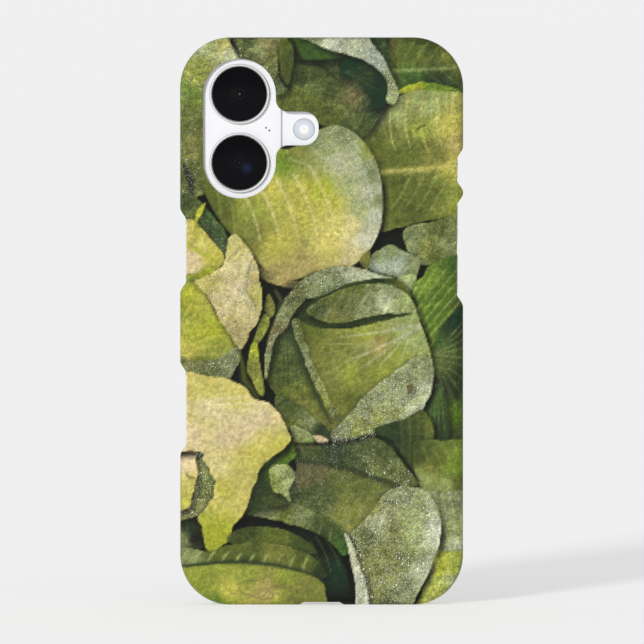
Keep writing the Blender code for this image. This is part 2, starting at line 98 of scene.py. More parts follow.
# The case, as the solid model has it
CASE_LOW, CASE_HIGH = (Vector(corner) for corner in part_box("case_shell"))
CASE_CORNER, EDGE_ROUND, RIM_ROUND = 13.3 * MM, 2.2 * MM, 0.5 * MM
CASE_BACK, CASE_WALL, FIT = 2.0 * MM, 1.5 * MM, 0.3 * MM
LIP_REACH, LIP_GAP, PAST = 1.3 * MM, 0.4 * MM, 1 * MM
NOTCH_DEPTH, NOTCH_RAMP = 1.64 * MM, 3.6 * MM
NOTCHES = [  # side, lower end, upper end
    (-1, 83.0 * MM, 106.0 * MM),
    (-1, 39.6 * MM, 65.2 * MM),
    (1, 109.9 * MM, 122.3 * MM),
    (1, 79.4 * MM, 109.9 * MM),
]
MIDDLE_Z = (CASE_LOW.z + CASE_HIGH.z) / 2
PRINT_PITCH = 0.385 * MM  # spacing of the points that carry the picture

LENS = {name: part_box(f"{name}_lens_glass") for name in ("upper", "lower")}
LENS_X = (LENS["upper"][0][0] + LENS["upper"][1][0]) / 2
LENS_Z = {name: (low[2] + high[2]) / 2 for name, (low, high) in LENS.items()}
CAMERA_Z = sum(LENS_Z.values()) / 2
LENS_REACH = 9.15 * MM  # of each lens from the middle between the two
FLASH_LOW, FLASH_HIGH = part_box("flash_lens")
FLASH_X, FLASH_Z = (FLASH_LOW[0] + FLASH_HIGH[0]) / 2, (FLASH_LOW[2] + FLASH_HIGH[2]) / 2

# The phone
PHONE_LOW, PHONE_HIGH = (Vector(corner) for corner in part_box("side_band"))
SIDE_Y = (PHONE_LOW.y + PHONE_HIGH.y) / 2
FRONT_LOW, FRONT_HIGH = (Vector(corner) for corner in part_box("front_glass"))
BACK_LOW, BACK_HIGH = (Vector(corner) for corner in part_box("back_glass"))
GLASS_CORNER, GLASS_THICK = 10.3 * MM, 0.8 * MM
PLATEAU_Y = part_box("back_glass")[0][1]
BACK_FACE_Y, PLATEAU_HALF_WIDTH = -3.25 * MM, 11.2 * MM
LENS_HOLE, FLASH_HOLE, MIC_HOLE = 8.02 * MM, 2.9 * MM, 0.24 * MM  # radii
MIC_HOLES = [(-14.8 * MM, 127.2 * MM), (-13.9 * MM, 126.5 * MM)]
LENS_RADIUS, FLASH_RADIUS, KEY_CORNER = 7.12 * MM, 2.82 * MM, 1.69 * MM


# Shapes


def new_object(name, shape):
    mesh = bpy.data.meshes.new(name)
    shape.to_mesh(mesh)
    shape.free()
    made = bpy.data.objects.new(name, mesh)
    bpy.context.scene.collection.objects.link(made)
    return made


def shaded(piece, angle=35):
    piece.data.shade_smooth()
    piece.data.set_sharp_from_angle(angle=math.radians(angle))
    return piece


def bevel(shape, edges, radius, steps):
    bmesh.ops.bevel(
        shape, geom=edges, offset=radius, segments=steps, profile=0.5, affect="EDGES", material=-1
    )


def slab(low, high, corner=0.0, steps=24, back_round=0.0, front_round=0.0, round_steps=5, axis="Y"):
    """A plate between two corners. corner rounds its outline as seen along the axis, and
    back_round and front_round soften that outline at the axis's low and high ends."""
    turn = {"Y": Matrix(), "X": Matrix.Rotation(math.radians(-90), 4, "Z"),
            "Z": Matrix.Rotation(math.radians(90), 4, "X")}[axis]
    low, high = Vector(low), Vector(high)
    size = turn.inverted().to_3x3() @ (high - low)
    size = Vector(abs(length) for length in size)
    shape = bmesh.new()
    bmesh.ops.create_cube(shape, size=1.0)
    bmesh.ops.scale(shape, vec=size, verts=shape.verts)
    if corner:
        along = [e for e in shape.edges if abs(e.verts[0].co.y - e.verts[1].co.y) > size.y / 2]
        bevel(shape, along, min(corner, 0.4995 * min(size.x, size.z)), steps)
    for radius, side in ((back_round, -1), (front_round, 1)):
        if radius:
            end = 0.4999 * size.y
            bevel(shape, [e for e in shape.edges if all(v.co.y * side > end for v in e.verts)],
                  radius, round_steps)
    bmesh.ops.transform(shape, matrix=Matrix.Translation((low + high) / 2) @ turn, verts=shape.verts)
    return shape


def faced_outwards(shape):
    bmesh.ops.recalc_face_normals(shape, faces=shape.faces)
    if shape.calc_volume(signed=True) < 0:
        bmesh.ops.reverse_faces(shape, faces=shape.faces)
    return shape


def prism(points, y):
    """A solid along Y over an outline of (x, z) points."""
    shape = bmesh.new()
    face = shape.faces.new([shape.verts.new((x, y[0], z)) for x, z in points])
    pushed = bmesh.ops.extrude_face_region(shape, geom=[face])["geom"]
    far = [item for item in pushed if isinstance(item, bmesh.types.BMVert)]
    bmesh.ops.translate(shape, vec=(0, y[1] - y[0], 0), verts=far)
    return faced_outwards(shape)


def turned(profile, x, z, steps):
    """A closed ring or dome turned about an axis along Y. profile lists (radius, y)."""
    shape = bmesh.new()
    corners = [shape.verts.new((radius, y, 0)) for radius, y in profile]
    loop = list(zip(corners, corners[1:]))
    if all(radius > 0 for radius, _ in profile):
        loop.append((corners[-1], corners[0]))
    edges = [shape.edges.new(pair) for pair in loop]
    bmesh.ops.spin(
        shape, geom=corners + edges, axis=(0, 1, 0), cent=(0, 0, 0), angle=2 * math.pi,
        steps=steps, use_merge=True,
    )
    bmesh.ops.remove_doubles(shape, verts=shape.verts, dist=1e-6)
    bmesh.ops.translate(shape, vec=(x, 0, z), verts=shape.verts)
    return faced_outwards(shape)


def arc(x, z, radius, start, end, steps):
    """Points on an arc about (x, z), from one angle to another in degrees."""
    angles = [math.radians(start + (end - start) * i / steps) for i in range(steps + 1)]
    return [(x + radius * math.cos(a), z + radius * math.sin(a)) for a in angles]


def pill(half_width, y, back_round=0.0):
    """An upright plate with round ends about the two lenses."""
    outline = [
        *arc(LENS_X, CAMERA_Z + LENS_REACH, half_width, 0, 180, 48),
        *arc(LENS_X, CAMERA_Z - LENS_REACH, half_width, 180, 360, 48),
    ]
    shape = prism(outline, y)
    if back_round:
        back = [e for e in shape.edges if all(v.co.y < y[0] + 1e-6 for v in e.verts)]
        bevel(shape, back, back_round, 6)
    return shape


def domed(radius, y, rise, steps):
    """A profile from the axis out over a face that rounds off by rise at its edge."""
    turns = np.linspace(0, math.pi / 2, steps)
    return [(radius * math.sin(a), y + rise - rise * math.cos(a)) for a in turns]


def combined(piece, others, operation="DIFFERENCE"):
    """Cuts the other shapes out of a piece, or joins them to it, for good."""
    tools = [new_object("tool", shape) for shape in others]
    for tool in tools:
        modifier = piece.modifiers.new("combine", "BOOLEAN")
        modifier.operation, modifier.object = operation, tool
    graph = bpy.context.evaluated_depsgraph_get()
    mesh = bpy.data.meshes.new_from_object(piece.evaluated_get(graph))
    piece.modifiers.clear()
    piece.data = mesh
    for tool in tools:
        bpy.data.objects.remove(tool)
    return piece


def sliced(shape, faces, axis, places):
    """Cuts the faces at each place along an axis, lowest first, and returns all their parts."""
    normal = Vector([float(i == axis) for i in range(3)])
    done, left = [], list(faces)
    for place in places:
        parts = set(left)
        for face in left:
            parts.update(face.edges)
            parts.update(face.verts)
        cut = bmesh.ops.bisect_plane(
            shape, geom=list(parts), dist=1e-8, plane_co=normal * place, plane_no=normal
        )
        left = []
        for face in (item for item in cut["geom"] if isinstance(item, bmesh.types.BMFace)):
            below = face.calc_center_median()[axis] < place
            (done if below else left).append(face)
    return done + left


# The case


def window_outline():
    """The case's opening: an upright pill round both lenses, with a lobe for the flash."""
    half_width, half_height = 9.7 * MM, 18.6 * MM
    lobe_half, lobe_round, fillet = 4.5 * MM, 4.0 * MM, 3.2 * MM
    side, straight = LENS_X + half_width, half_height - half_width
    end_x, end_z = -0.8 * MM - lobe_round, lobe_half - lobe_round
    return [
        *arc(LENS_X, CAMERA_Z + straight, half_width, 180, 0, 48),
        *arc(side + fillet, CAMERA_Z + lobe_half + fillet, fillet, 180, 270, 12),
        *arc(end_x, CAMERA_Z + end_z, lobe_round, 90, 0, 16),
        *arc(end_x, CAMERA_Z - end_z, lobe_round, 0, -90, 16),
        *arc(side + fillet, CAMERA_Z - lobe_half - fillet, fillet, 90, 180, 12),
        *arc(LENS_X, CAMERA_Z - straight, half_width, 0, -180, 48),
    ]


def dip(start, end, wall, depth, ramp, steps=10):
    """Points along a straight wall that sinks by depth between start and end, in two soft ramps."""
    rise = [(i / steps, (1 - math.cos(math.pi * i / steps)) / 2) for i in range(steps + 1)]
    down = [(start + ramp * t, wall - depth * s) for t, s in rise]
    return down + [(end - ramp * t, wall - depth * s) for t, s in reversed(rise)]


def case_tools():
    """The shapes that are cut out of the case: the phone's room, the front inside the lip, the
    plateau's room, the camera window, the relief and slots below, and the dips at the keys."""
    through = (2 * CASE_LOW.y, 2 * CASE_HIGH.y)
    room_low = Vector((PHONE_LOW.x - FIT, CASE_LOW.y + CASE_BACK, PHONE_LOW.z - FIT))
    room_high = Vector((PHONE_HIGH.x + FIT, PHONE_HIGH.y + LIP_GAP, PHONE_HIGH.z + FIT))
    corner = CASE_CORNER - CASE_WALL
    yield slab(room_low, room_high, corner)
    yield slab(
        (room_low.x + LIP_REACH, 0, room_low.z + LIP_REACH),
        (room_high.x - LIP_REACH, through[1], room_high.z - LIP_REACH),
        corner - LIP_REACH,
    )
    yield pill(PLATEAU_HALF_WIDTH + FIT, (PLATEAU_Y - FIT, 0))
    yield prism(window_outline(), (through[0], 0))
    relief = dip(-6.2 * MM, 6.2 * MM, 0, -0.75 * MM, 1.6 * MM)
    yield prism([(relief[0][0], -PAST), *relief, (relief[-1][0], -PAST)], through)
    for centre, length, thick in ((0, 12.4, 6.2), (-14.2, 10.4, 2.8), (14.2, 10.4, 2.8)):
        middle, half = Vector((centre * MM, SIDE_Y, 0.3 * MM)), Vector((length, thick, 2.7)) * MM / 2
        yield slab(middle - half, middle + half, half.y, 10, axis="Z")
    outside = CASE_HIGH.x + PAST
    for side, low, high in NOTCHES:
        outline = [(side * x, z) for z, x in dip(low, high, CASE_HIGH.x, NOTCH_DEPTH, NOTCH_RAMP)]
        yield prism([(side * outside, low), *outline, (side * outside, high)], through)
        inner, outer = sorted((side * (room_high.x - LIP_REACH - PAST), side * outside))
        lip = room_high.y - 0.2 * MM
        yield slab((inner, lip, low + NOTCH_RAMP), (outer, through[1], high - NOTCH_RAMP))


def picture_places(points):
    """Where on the flat picture each point of the case's outside lies, in millimetres: the picture
    goes on at its own scale round the edge and up the side walls."""
    centre = np.array([(CASE_LOW.x + CASE_HIGH.x) / 2, MIDDLE_Z])
    half = np.array([CASE_HIGH.x - CASE_LOW.x, CASE_HIGH.z - CASE_LOW.z]) / 2
    flat = points[:, [0, 2]] - centre
    core = np.clip(flat, CASE_CORNER - half, half - CASE_CORNER)
    out = flat - core
    reach = np.maximum(np.linalg.norm(out, axis=1), 1e-9)
    past = np.clip(reach - (CASE_CORNER - EDGE_ROUND), 0, EDGE_ROUND)
    height = points[:, 1] - CASE_LOW.y
    bend = EDGE_ROUND * np.arctan2(past, np.maximum(EDGE_ROUND - height, 1e-9))
    along = np.where(height < EDGE_ROUND, bend, EDGE_ROUND * math.pi / 2 + height - EDGE_ROUND)
    moved = np.where(past > 1e-7, reach - past + along, reach)
    return (core + out * (moved / reach)[:, None] + centre) / MM


def is_outside(face):
    """Whether a face of the case is on its outside, which carries the picture."""
    at, normal = face.calc_center_median(), face.normal
    if normal.y < -0.1 and at.y < CASE_LOW.y + 0.7 * MM:
        return True
    away = Vector((at.x, 0, at.z - MIDDLE_Z))
    x, z, wall = abs(away.x), abs(away.z), CASE_WALL + 0.1 * MM
    near_edge = (
        x > CASE_HIGH.x - wall
        or z > MIDDLE_Z - wall
        or (x > CASE_HIGH.x - CASE_CORNER and z > MIDDLE_Z - CASE_CORNER)
    )
    return near_edge and normal.dot(away.normalized()) > 0.3


def printed_case():
    """The case, cut finely on its outside, with the picture painted on the points there."""
    case = new_object(
        "printed_case",
        slab(CASE_LOW, CASE_HIGH, CASE_CORNER, 24, EDGE_ROUND, RIM_ROUND, 6),
    )
    combined(case, case_tools())
    shape = bmesh.new()
    shape.from_mesh(case.data)
    bmesh.ops.remove_doubles(shape, verts=shape.verts, dist=0.002 * MM)
    printed = [face for face in shape.faces if is_outside(face)]
    for face in shape.faces:
        face.material_index = 1
    for face in printed:
        face.material_index = 0
    for axis in (2, 0):
        low, high = CASE_LOW[axis] + PRINT_PITCH, CASE_HIGH[axis] - 0.1 * PRINT_PITCH
        printed = sliced(shape, printed, axis, np.arange(low, high, PRINT_PITCH))
    walls = [face for face in printed if abs(face.normal.y) < 0.3]
    deep = np.arange(CASE_LOW.y + EDGE_ROUND, CASE_HIGH.y - RIM_ROUND, 1.3 * MM)
    sliced(shape, walls, 1, deep[1:])
    shape.to_mesh(case.data)
    shape.free()
    points = np.empty(len(case.data.vertices) * 3, np.float32)
    case.data.vertices.foreach_get("co", points)
    picture = Picture(picture_places(points.reshape(-1, 3).astype(float)))
    heap_of_cabbages(picture)
    picture.store(case.data)
    return shaded(case)


# The picture


def hashed(cells, seed):
    """A fixed pseudo-random number from 0 to 1 for each pair of whole numbers."""
    mixed = np.sin(cells[..., 0] * 127.1 + cells[..., 1] * 311.7 + seed * 74.7) * 43758.5453
    return mixed - np.floor(mixed)


def smooth_noise(at, size, seed):
    """Noise from -1 to 1 whose lumps are about size across."""
    cell = np.floor(at / size)
    within = at / size - cell
    within = within * within * (3 - 2 * within)
    total = 0
    for i in (0, 1):
        for j in (0, 1):
            weight = np.abs(1 - i - within[:, 0]) * np.abs(1 - j - within[:, 1])
            total = total + weight * hashed(cell + (i, j), seed)
    return 2 * total - 1


def layered_noise(at, size, seed, layers=3):
    total = sum(smooth_noise(at, size / 2**i, seed + i) / 2**i for i in range(layers))
    return total / (2 - 2.0 ** (1 - layers))


LIGHT = np.array([-0.6, 0.8])  # where the light comes from in the picture


def blisters(at, size, seed):
    """The blisters of a crinkled leaf: how far each point faces the light, from about -1 to 1, and
    how close it is to the veins between the blisters, from 0 to 1."""
    wave = np.stack([smooth_noise(at, 1.6 * size, seed + k) for k in (1, 2)], 1)
    at = at + 0.45 * size * wave
    cell = np.floor(at / size)
    nearest = second = np.full(len(at), np.inf)
    facing = np.zeros(len(at))
    for i in (-1, 0, 1):
        for j in (-1, 0, 1):
            corner = cell + (i, j)
            spot = np.stack([hashed(corner, seed), hashed(corner, seed + 7)], 1)
            away = at / size - (corner + 0.1 + 0.8 * spot)
            gap = np.hypot(*away.T)
            closer = gap < nearest
            second = np.where(closer, nearest, np.minimum(second, gap))
            facing = np.where(closer, away @ LIGHT, facing)
            nearest = np.where(closer, gap, nearest)
    return 1.6 * facing, np.exp(-(((second - nearest) / 0.2) ** 2))


def soft_step(low, high, value):
    t = np.clip((value - low) / (high - low), 0, 1)
    return t * t * (3 - 2 * t)


def smooth_loop(points, steps=6):
    """A closed curve through the points."""
    p = np.array(points, float)
    before, after, last = np.roll(p, 1, 0), np.roll(p, -1, 0), np.roll(p, -2, 0)
    t = (np.arange(steps) / steps)[:, None, None]
    curve = 0.5 * (
        2 * p
        + (after - before) * t
        + (2 * before - 5 * p + 4 * after - last) * t**2
        + (3 * p - before - 3 * after + last) * t**3
    )
    return curve.transpose(1, 0, 2).reshape(-1, 2)


def from_line(at, line):
    """The distance of each point from a line of points, and how far along the line it is, 0 to 1."""
    best, where = np.full(len(at), np.inf), np.zeros(len(at))
    for i, (a, b) in enumerate(zip(line[:-1], line[1:])):
        along = b - a
        t = np.clip(((at - a) @ along) / max(along @ along, 1e-9), 0, 1)
        gap = np.hypot(*(at - a - t[:, None] * along).T)
        closer = gap < best
        best = np.where(closer, gap, best)
        where = np.where(closer, (i + t) / (len(line) - 1), where)
    return best, where


def depth_inside(at, border):
    """How deep each point lies inside a closed border, in millimetres; negative outside."""
    gap, _ = from_line(at, np.vstack([border, border[:1]]))
    inside = np.zeros(len(at), bool)
    for a, b in zip(border, np.roll(border, -1, 0)):
        crosses = (a[1] > at[:, 1]) != (b[1] > at[:, 1])
        if a[1] != b[1]:
            x = a[0] + (at[:, 1] - a[1]) / (b[1] - a[1]) * (b[0] - a[0])
            inside ^= crosses & (at[:, 0] < x)
    return np.where(inside, gap, -gap)


PALETTE = {
    "night": (17, 22, 15),
    "pine": (24, 50, 34),
    "bottle": (42, 58, 34),
    "moss": (60, 73, 36),
    "fern": (58, 88, 38),
    "olive": (88, 99, 42),
    "bark": (104, 100, 66),
    "khaki": (118, 124, 60),
    "sage": (120, 132, 90),
    "meadow": (106, 134, 46),
    "grass": (80, 112, 32),
    "leaf": (138, 150, 62),
    "lime": (162, 172, 54),
    "straw": (182, 180, 84),
    "butter": (196, 190, 108),
    "cream": (208, 198, 144),
    "blush": (212, 197, 164),
    "chalk": (222, 213, 186),
    "tan": (166, 155, 98),
    "celery": (152, 168, 108),
    "frost": (176, 186, 156),
    "ice": (196, 204, 186),
    "mist": (150, 166, 158),
}
PALETTE = {name: np.array(colour) / 255 for name, colour in PALETTE.items()}
PAINT_STRENGTH = (0.745, 0.71, 0.645)  # how much of each colour the printed ink gives back


def fan(roots, tips, count, bend=0.0, width=0.3, strength=0.5, tint="butter"):
    """Veins from roots to tips. Each is one point, or the two ends of a row of points."""
    share = np.linspace(0, 1, count)[:, None]
    rows = [np.broadcast_to(row, (2, 2)) for row in (roots, tips)]
    lines = []
    t = np.linspace(0, 1, 8)[:, None]
    for start, end in zip(*(row[0] * (1 - share) + row[1] * share for row in rows)):
        run = end - start
        side = np.array([-run[1], run[0]]) / max(np.hypot(*run), 1e-9)
        middle = (start + end) / 2 + side * bend
        lines.append(start * (1 - t) ** 2 + middle * 2 * t * (1 - t) + end * t**2)
    return {"lines": lines, "width": width, "strength": strength, "tint": tint}


class Picture:
    """A colour and an amount of dew at each place on the case, painted from the back forwards."""

    def __init__(self, at):
        self.at = at
        self.colour = np.tile(PALETTE["night"], (len(at), 1))
        self.dew, self.rough = np.zeros((2, len(at)))
        self.cloud = layered_noise(at, 6.0, 3)
        self.crepe = layered_noise(at, 1.7, 8)
        self.swells, self.ribs = blisters(at, 4.2, 11)
        self.bumps, self.net = blisters(at, 1.7, 17)
        self.grain = smooth_noise(at, 0.6, 21)
        self.ragged = layered_noise(at, 2.2, 33)

    def near(self, line, margin):
        low, high = np.min(line, 0) - margin, np.max(line, 0) + margin
        return np.flatnonzero(((self.at > low) & (self.at < high)).all(1))

    def tinted(self, where, amount, tint):
        self.colour[where] += amount[:, None] * (PALETTE[tint] - self.colour[where])

    def leaf(self, outline, tones, veins=(), crinkle=1.0, dew=0.0, shadow=0.6, edge=0.1, torn=0.35):
        """A leaf with colours that blend between places, veins, blisters, dew, a lit edge and a
        shadow on what lies behind it. A tone is (x, z, palette name) and may end with its own dew."""
        border = smooth_loop(outline)
        where = self.near(border, 3.0)
        at = self.at[where]
        depth = depth_inside(at, border) + torn * self.ragged[where]
        uneven = 0.35 + 0.65 * soft_step(-0.5, 0.4, self.cloud[where] + 0.4 * self.crepe[where])
        cast = soft_step(-1.6, 0.8, depth_inside(at + 1.1 * LIGHT, border)) * uneven
        touching = 0.55 * np.exp(np.minimum(depth, 0) / 0.4)
        self.colour[where] *= (1 - shadow * np.maximum(cast, touching * uneven))[:, None]
        weights = [1 / (np.sum((at - tone[:2]) ** 2, 1) + 2.0) ** 1.6 for tone in tones]
        own = sum(w[:, None] * PALETTE[tone[2]] for w, tone in zip(weights, tones))
        own = own / sum(weights)[:, None]
        dew = sum(w * (*tone, dew)[3] for w, tone in zip(weights, tones)) / sum(weights)
        for vein in veins:
            amount = np.zeros(len(at))
            for line in vein["lines"]:
                gap, along = from_line(at, line)
                width = vein["width"] * (1.25 - 0.7 * along)
                fade = 1 - soft_step(0.75, 1.0, along)
                amount = np.maximum(amount, np.exp(-((gap / width) ** 2)) * fade)
            own = own + (amount * vein["strength"])[:, None] * (PALETTE[vein["tint"]] - own)
        net = crinkle * (0.12 * self.ribs + 0.1 * self.net)[where]
        own = own + net[:, None] * (1.25 * own + 0.06 - own)
        light = 1 + crinkle * (0.07 * self.swells + 0.05 * self.bumps + 0.12 * self.crepe)[where]
        light = light * (1 + (0.05 + 0.07 * crinkle) * self.cloud[where] + 0.12 * self.grain[where])
        light = light + edge * np.exp(-np.maximum(depth, 0) / 0.3) * uneven
        own = own * np.maximum(light, 0.2)[:, None]
        wet = dew * np.clip(0.75 + 0.5 * self.crepe[where], 0, 1)
        own = own + (0.22 * wet * np.clip(self.grain[where] + 0.3, 0, 1))[:, None] * (0.86 - own)
        cover = soft_step(-0.15, 0.2, depth)
        self.colour[where] += cover[:, None] * (own - self.colour[where])
        self.dew[where] += cover * (wet - self.dew[where])
        self.rough[where] += cover * (min(crinkle, 1.5) - self.rough[where])

    def stroke(self, points, width, tint, strength=0.9):
        """A soft line, such as a crevice or a rib."""
        line = np.array(points, float)
        where = self.near(line, 3 * width)
        gap, along = from_line(self.at[where], line)
        taper = width * (0.45 + 0.55 * np.sin(math.pi * np.clip(along, 0.04, 0.96)))
        self.tinted(where, strength * np.exp(-((gap / taper) ** 2)), tint)

    def store(self, mesh):
        colour = np.clip(self.colour, 0, 1)
        linear = np.where(colour > 0.04045, ((colour + 0.055) / 1.055) ** 2.4, colour / 12.92)
        ink = np.column_stack([linear * PAINT_STRENGTH, np.ones(len(linear))])
        spots = np.column_stack([self.at, np.zeros(len(self.at))])
        for name, kind, field, values in (
            ("print", "FLOAT_COLOR", "color", ink),
            ("place", "FLOAT_VECTOR", "vector", spots),
            ("dew", "FLOAT", "value", self.dew),
            ("rough", "FLOAT", "value", self.rough),
        ):
            stored = mesh.attributes.new(name, kind, "POINT")
            stored.data.foreach_set(field, values.astype(np.float32).ravel())


def heap_of_cabbages(p):
    """Paints the whole heap, from the back forwards."""
    for paint in (
        top_of_heap, pale_head, left_leaves, right_leaves, middle_head,
        lower_right, lower_middle, torn_leaf, bottom_head,
    ):
        paint(p)


def top_of_heap(p):
    p.leaf(
        [(9, 165), (52, 165), (52, 133), (30, 135), (19, 134), (14, 139), (11, 146)],
        [(13, 149, "bark"), (18, 144, "olive"), (28, 150, "moss"), (26, 146, "olive"), (30, 139, "bottle"),
         (36, 148, "khaki"), (24, 141, "fern")],
        [fan((17, 142.2), (50, 144), 1, width=0.5, strength=0.5, tint="celery"),
         fan(((18, 142.5), (36, 143.2)), ((24, 156), (50, 154)), 7, 1.2, 0.28, 0.4, "sage"),
         fan(((19, 142), (36, 142.8)), ((27, 137), (46, 136)), 5, -0.8, 0.25, 0.35, "sage")])
    p.leaf(
        [(20, 136.4), (23, 138.4), (27, 139.4), (32, 138.8), (37, 137), (42, 135), (32, 136.6)],
        [(24, 138, "lime"), (30, 138.4, "meadow"), (36, 137, "meadow")], edge=0.25)
    p.leaf(
        [(10, 125), (13.5, 130.5), (18, 134.4), (24, 136.9), (30, 137.2), (40, 136), (52, 133), (52, 103),
         (36, 103.5), (28, 102.5), (20, 100.5), (15.5, 100), (16.5, 108), (16, 114), (13, 120.5)],
        [(28, 133, "celery"), (20, 131, "celery"), (16.4, 129, "sage"), (34, 127, "straw"),
         (26, 127, "leaf"), (15, 123, "olive"), (21, 112, "olive"), (19, 119, "olive"), (30, 110, "olive"),
         (25, 105, "olive"), (36, 117, "straw"), (35, 108, "leaf"), (30, 121, "khaki"), (17, 127, "olive"),
         (24, 122, "olive"), (36, 123, "tan")],
        [fan((16, 115.4), (50, 118.5), 1, width=0.6, strength=0.8),
         fan((22, 114.8), (50, 121.5), 1, bend=-0.4, width=0.3, strength=0.5),
         fan(((19, 135), (39, 136.5)), ((20, 120), (42, 119)), 6, -2.6, 0.3, 0.7, "butter"),
         fan(((16, 132), (41, 138)), ((20, 121), (42, 120)), 14, -2.2, 0.2, 0.25, "frost"),
         fan(((24, 115.4), (38, 117)), ((17, 104), (30, 102)), 5, 1.5, 0.35, 0.45, "celery")],
        crinkle=0.8, dew=0.15)
    p.stroke([(25, 126.5), (26.5, 127.6), (28, 128)], 0.3, "night", 0.6)
    p.leaf(
        [(-14, 152), (-8, 165), (14, 165), (17.5, 148), (19, 140), (17, 133), (10.5, 124.5), (4, 126),
         (-4, 130), (-12, 133), (-13, 140)],
        [(-2, 148, "bottle"), (8, 145, "bottle"), (14, 140, "pine"), (-5, 141, "moss"), (2, 138, "moss"),
         (-9, 136, "olive"), (8, 135, "bark"), (14, 133, "bottle"), (4, 131, "olive"), (-3, 133, "olive"),
         (9, 129, "moss"), (-7, 132, "olive")],
        [fan((-7, 138.5), ((8, 140.5), (8, 128)), 5, bend=1.0, width=0.2, strength=0.35, tint="sage"),
         fan((9, 127), ((-2, 136), (15, 141)), 5, bend=-0.8, width=0.2, strength=0.35, tint="sage")],
        crinkle=1.6, dew=0.2)
    p.leaf(
        [(-8.5, 152), (-6, 160), (2, 158), (8, 150), (9, 146.5), (4, 145.2), (-2, 145), (-6.5, 145.5),
         (-8, 148)],
        [(-4, 150, "fern"), (0, 147, "fern"), (6, 146.5, "bottle")], crinkle=0.6, edge=0.0)
    p.stroke([(-7.5, 145), (-4, 145), (1, 145.2), (7, 145.4)], 0.45, "night", 0.7)
    p.stroke([(-2, 144.5), (1, 143), (4, 140)], 0.45, "night", 0.5)
    p.leaf(
        [(6, 146), (10, 146), (15, 142.5), (18.3, 138), (17.5, 134), (14.5, 132.5), (12.5, 136.5),
         (9.5, 140), (5, 141)],
        [(8, 144, "pine"), (15, 139, "pine"), (16, 135, "pine"), (12, 141, "bottle")],
        [fan((6, 142), ((14, 144), (17, 136)), 4, bend=0.4, width=0.15, strength=0.3, tint="sage")],
        crinkle=0.4, edge=0.0, torn=0.0)
    p.leaf(
        [(-6, 152.5), (-2, 160), (10, 158), (13.5, 150), (16.5, 145.8), (18.8, 141), (20.4, 136.5),
         (19.4, 133.6), (17.4, 134.5), (17.8, 138), (16.4, 141.2), (13.4, 144), (9.5, 146), (4, 147.4),
         (0, 148.8), (-3.5, 150.5)],
        [(2, 150, "ice"), (9, 148, "frost"), (14, 145, "mist"), (18.5, 139, "sage"), (19, 135, "celery"),
         (-2, 151, "sage")], dew=1.0, crinkle=1.3, edge=0.2)
    p.leaf(
        [(-26, 165), (-9, 165), (-9.5, 150), (-11.4, 148), (-11.6, 143), (-9, 138), (-12, 136), (-17, 143),
         (-22, 146)],
        [(-20, 150, "moss"), (-19, 147, "olive"), (-15, 149, "bark"), (-13.5, 146, "khaki"),
         (-12.5, 142, "olive"), (-12, 138.5, "moss"), (-17, 147.4, "sage")], crinkle=2.4, dew=0.45)
    p.leaf(
        [(-11.4, 149), (-10, 151), (-8.4, 150.3), (-7.4, 147), (-8, 142), (-9, 138.6), (-10.6, 140),
         (-11.2, 144)],
        [(-10.4, 148, "olive"), (-8.4, 147, "moss"), (-10.2, 142, "olive"), (-8.8, 142, "moss")],
        crinkle=0.8, shadow=0.9, edge=0.25, torn=0.0)
    p.stroke([(-11.4, 145), (-11.2, 141), (-9.8, 138.6), (-8.6, 138.4)], 0.45, "night")
    p.stroke([(-7.4, 150), (-6.6, 147), (-5, 145.2)], 0.6, "night", 0.8)
    p.leaf(
        [(-52, 165), (-26, 165), (-24.4, 151), (-22.4, 148), (-21.4, 145.6), (-26, 143.5), (-31, 138),
         (-30, 126), (-31, 110), (-52, 108)],
        [(-29, 149, "celery"), (-33, 149, "frost"), (-33, 144, "leaf"), (-25, 147, "frost"),
         (-26, 149, "butter"), (-36, 138, "meadow"), (-35, 130, "olive"), (-34, 141, "leaf"),
         (-36, 122, "khaki"), (-35, 115, "olive")],
        [fan((-36.5, 142.5), (-31.5, 137.5), 1, width=0.35, strength=0.6)], crinkle=1.5, dew=0.5)
    p.stroke([(-25.2, 155), (-24.2, 150.8), (-22.6, 147.6), (-21.6, 145.6)], 0.6, "night")
    p.stroke([(-36.6, 117), (-35, 113.4), (-34.6, 110)], 1.3, "night", 0.85)


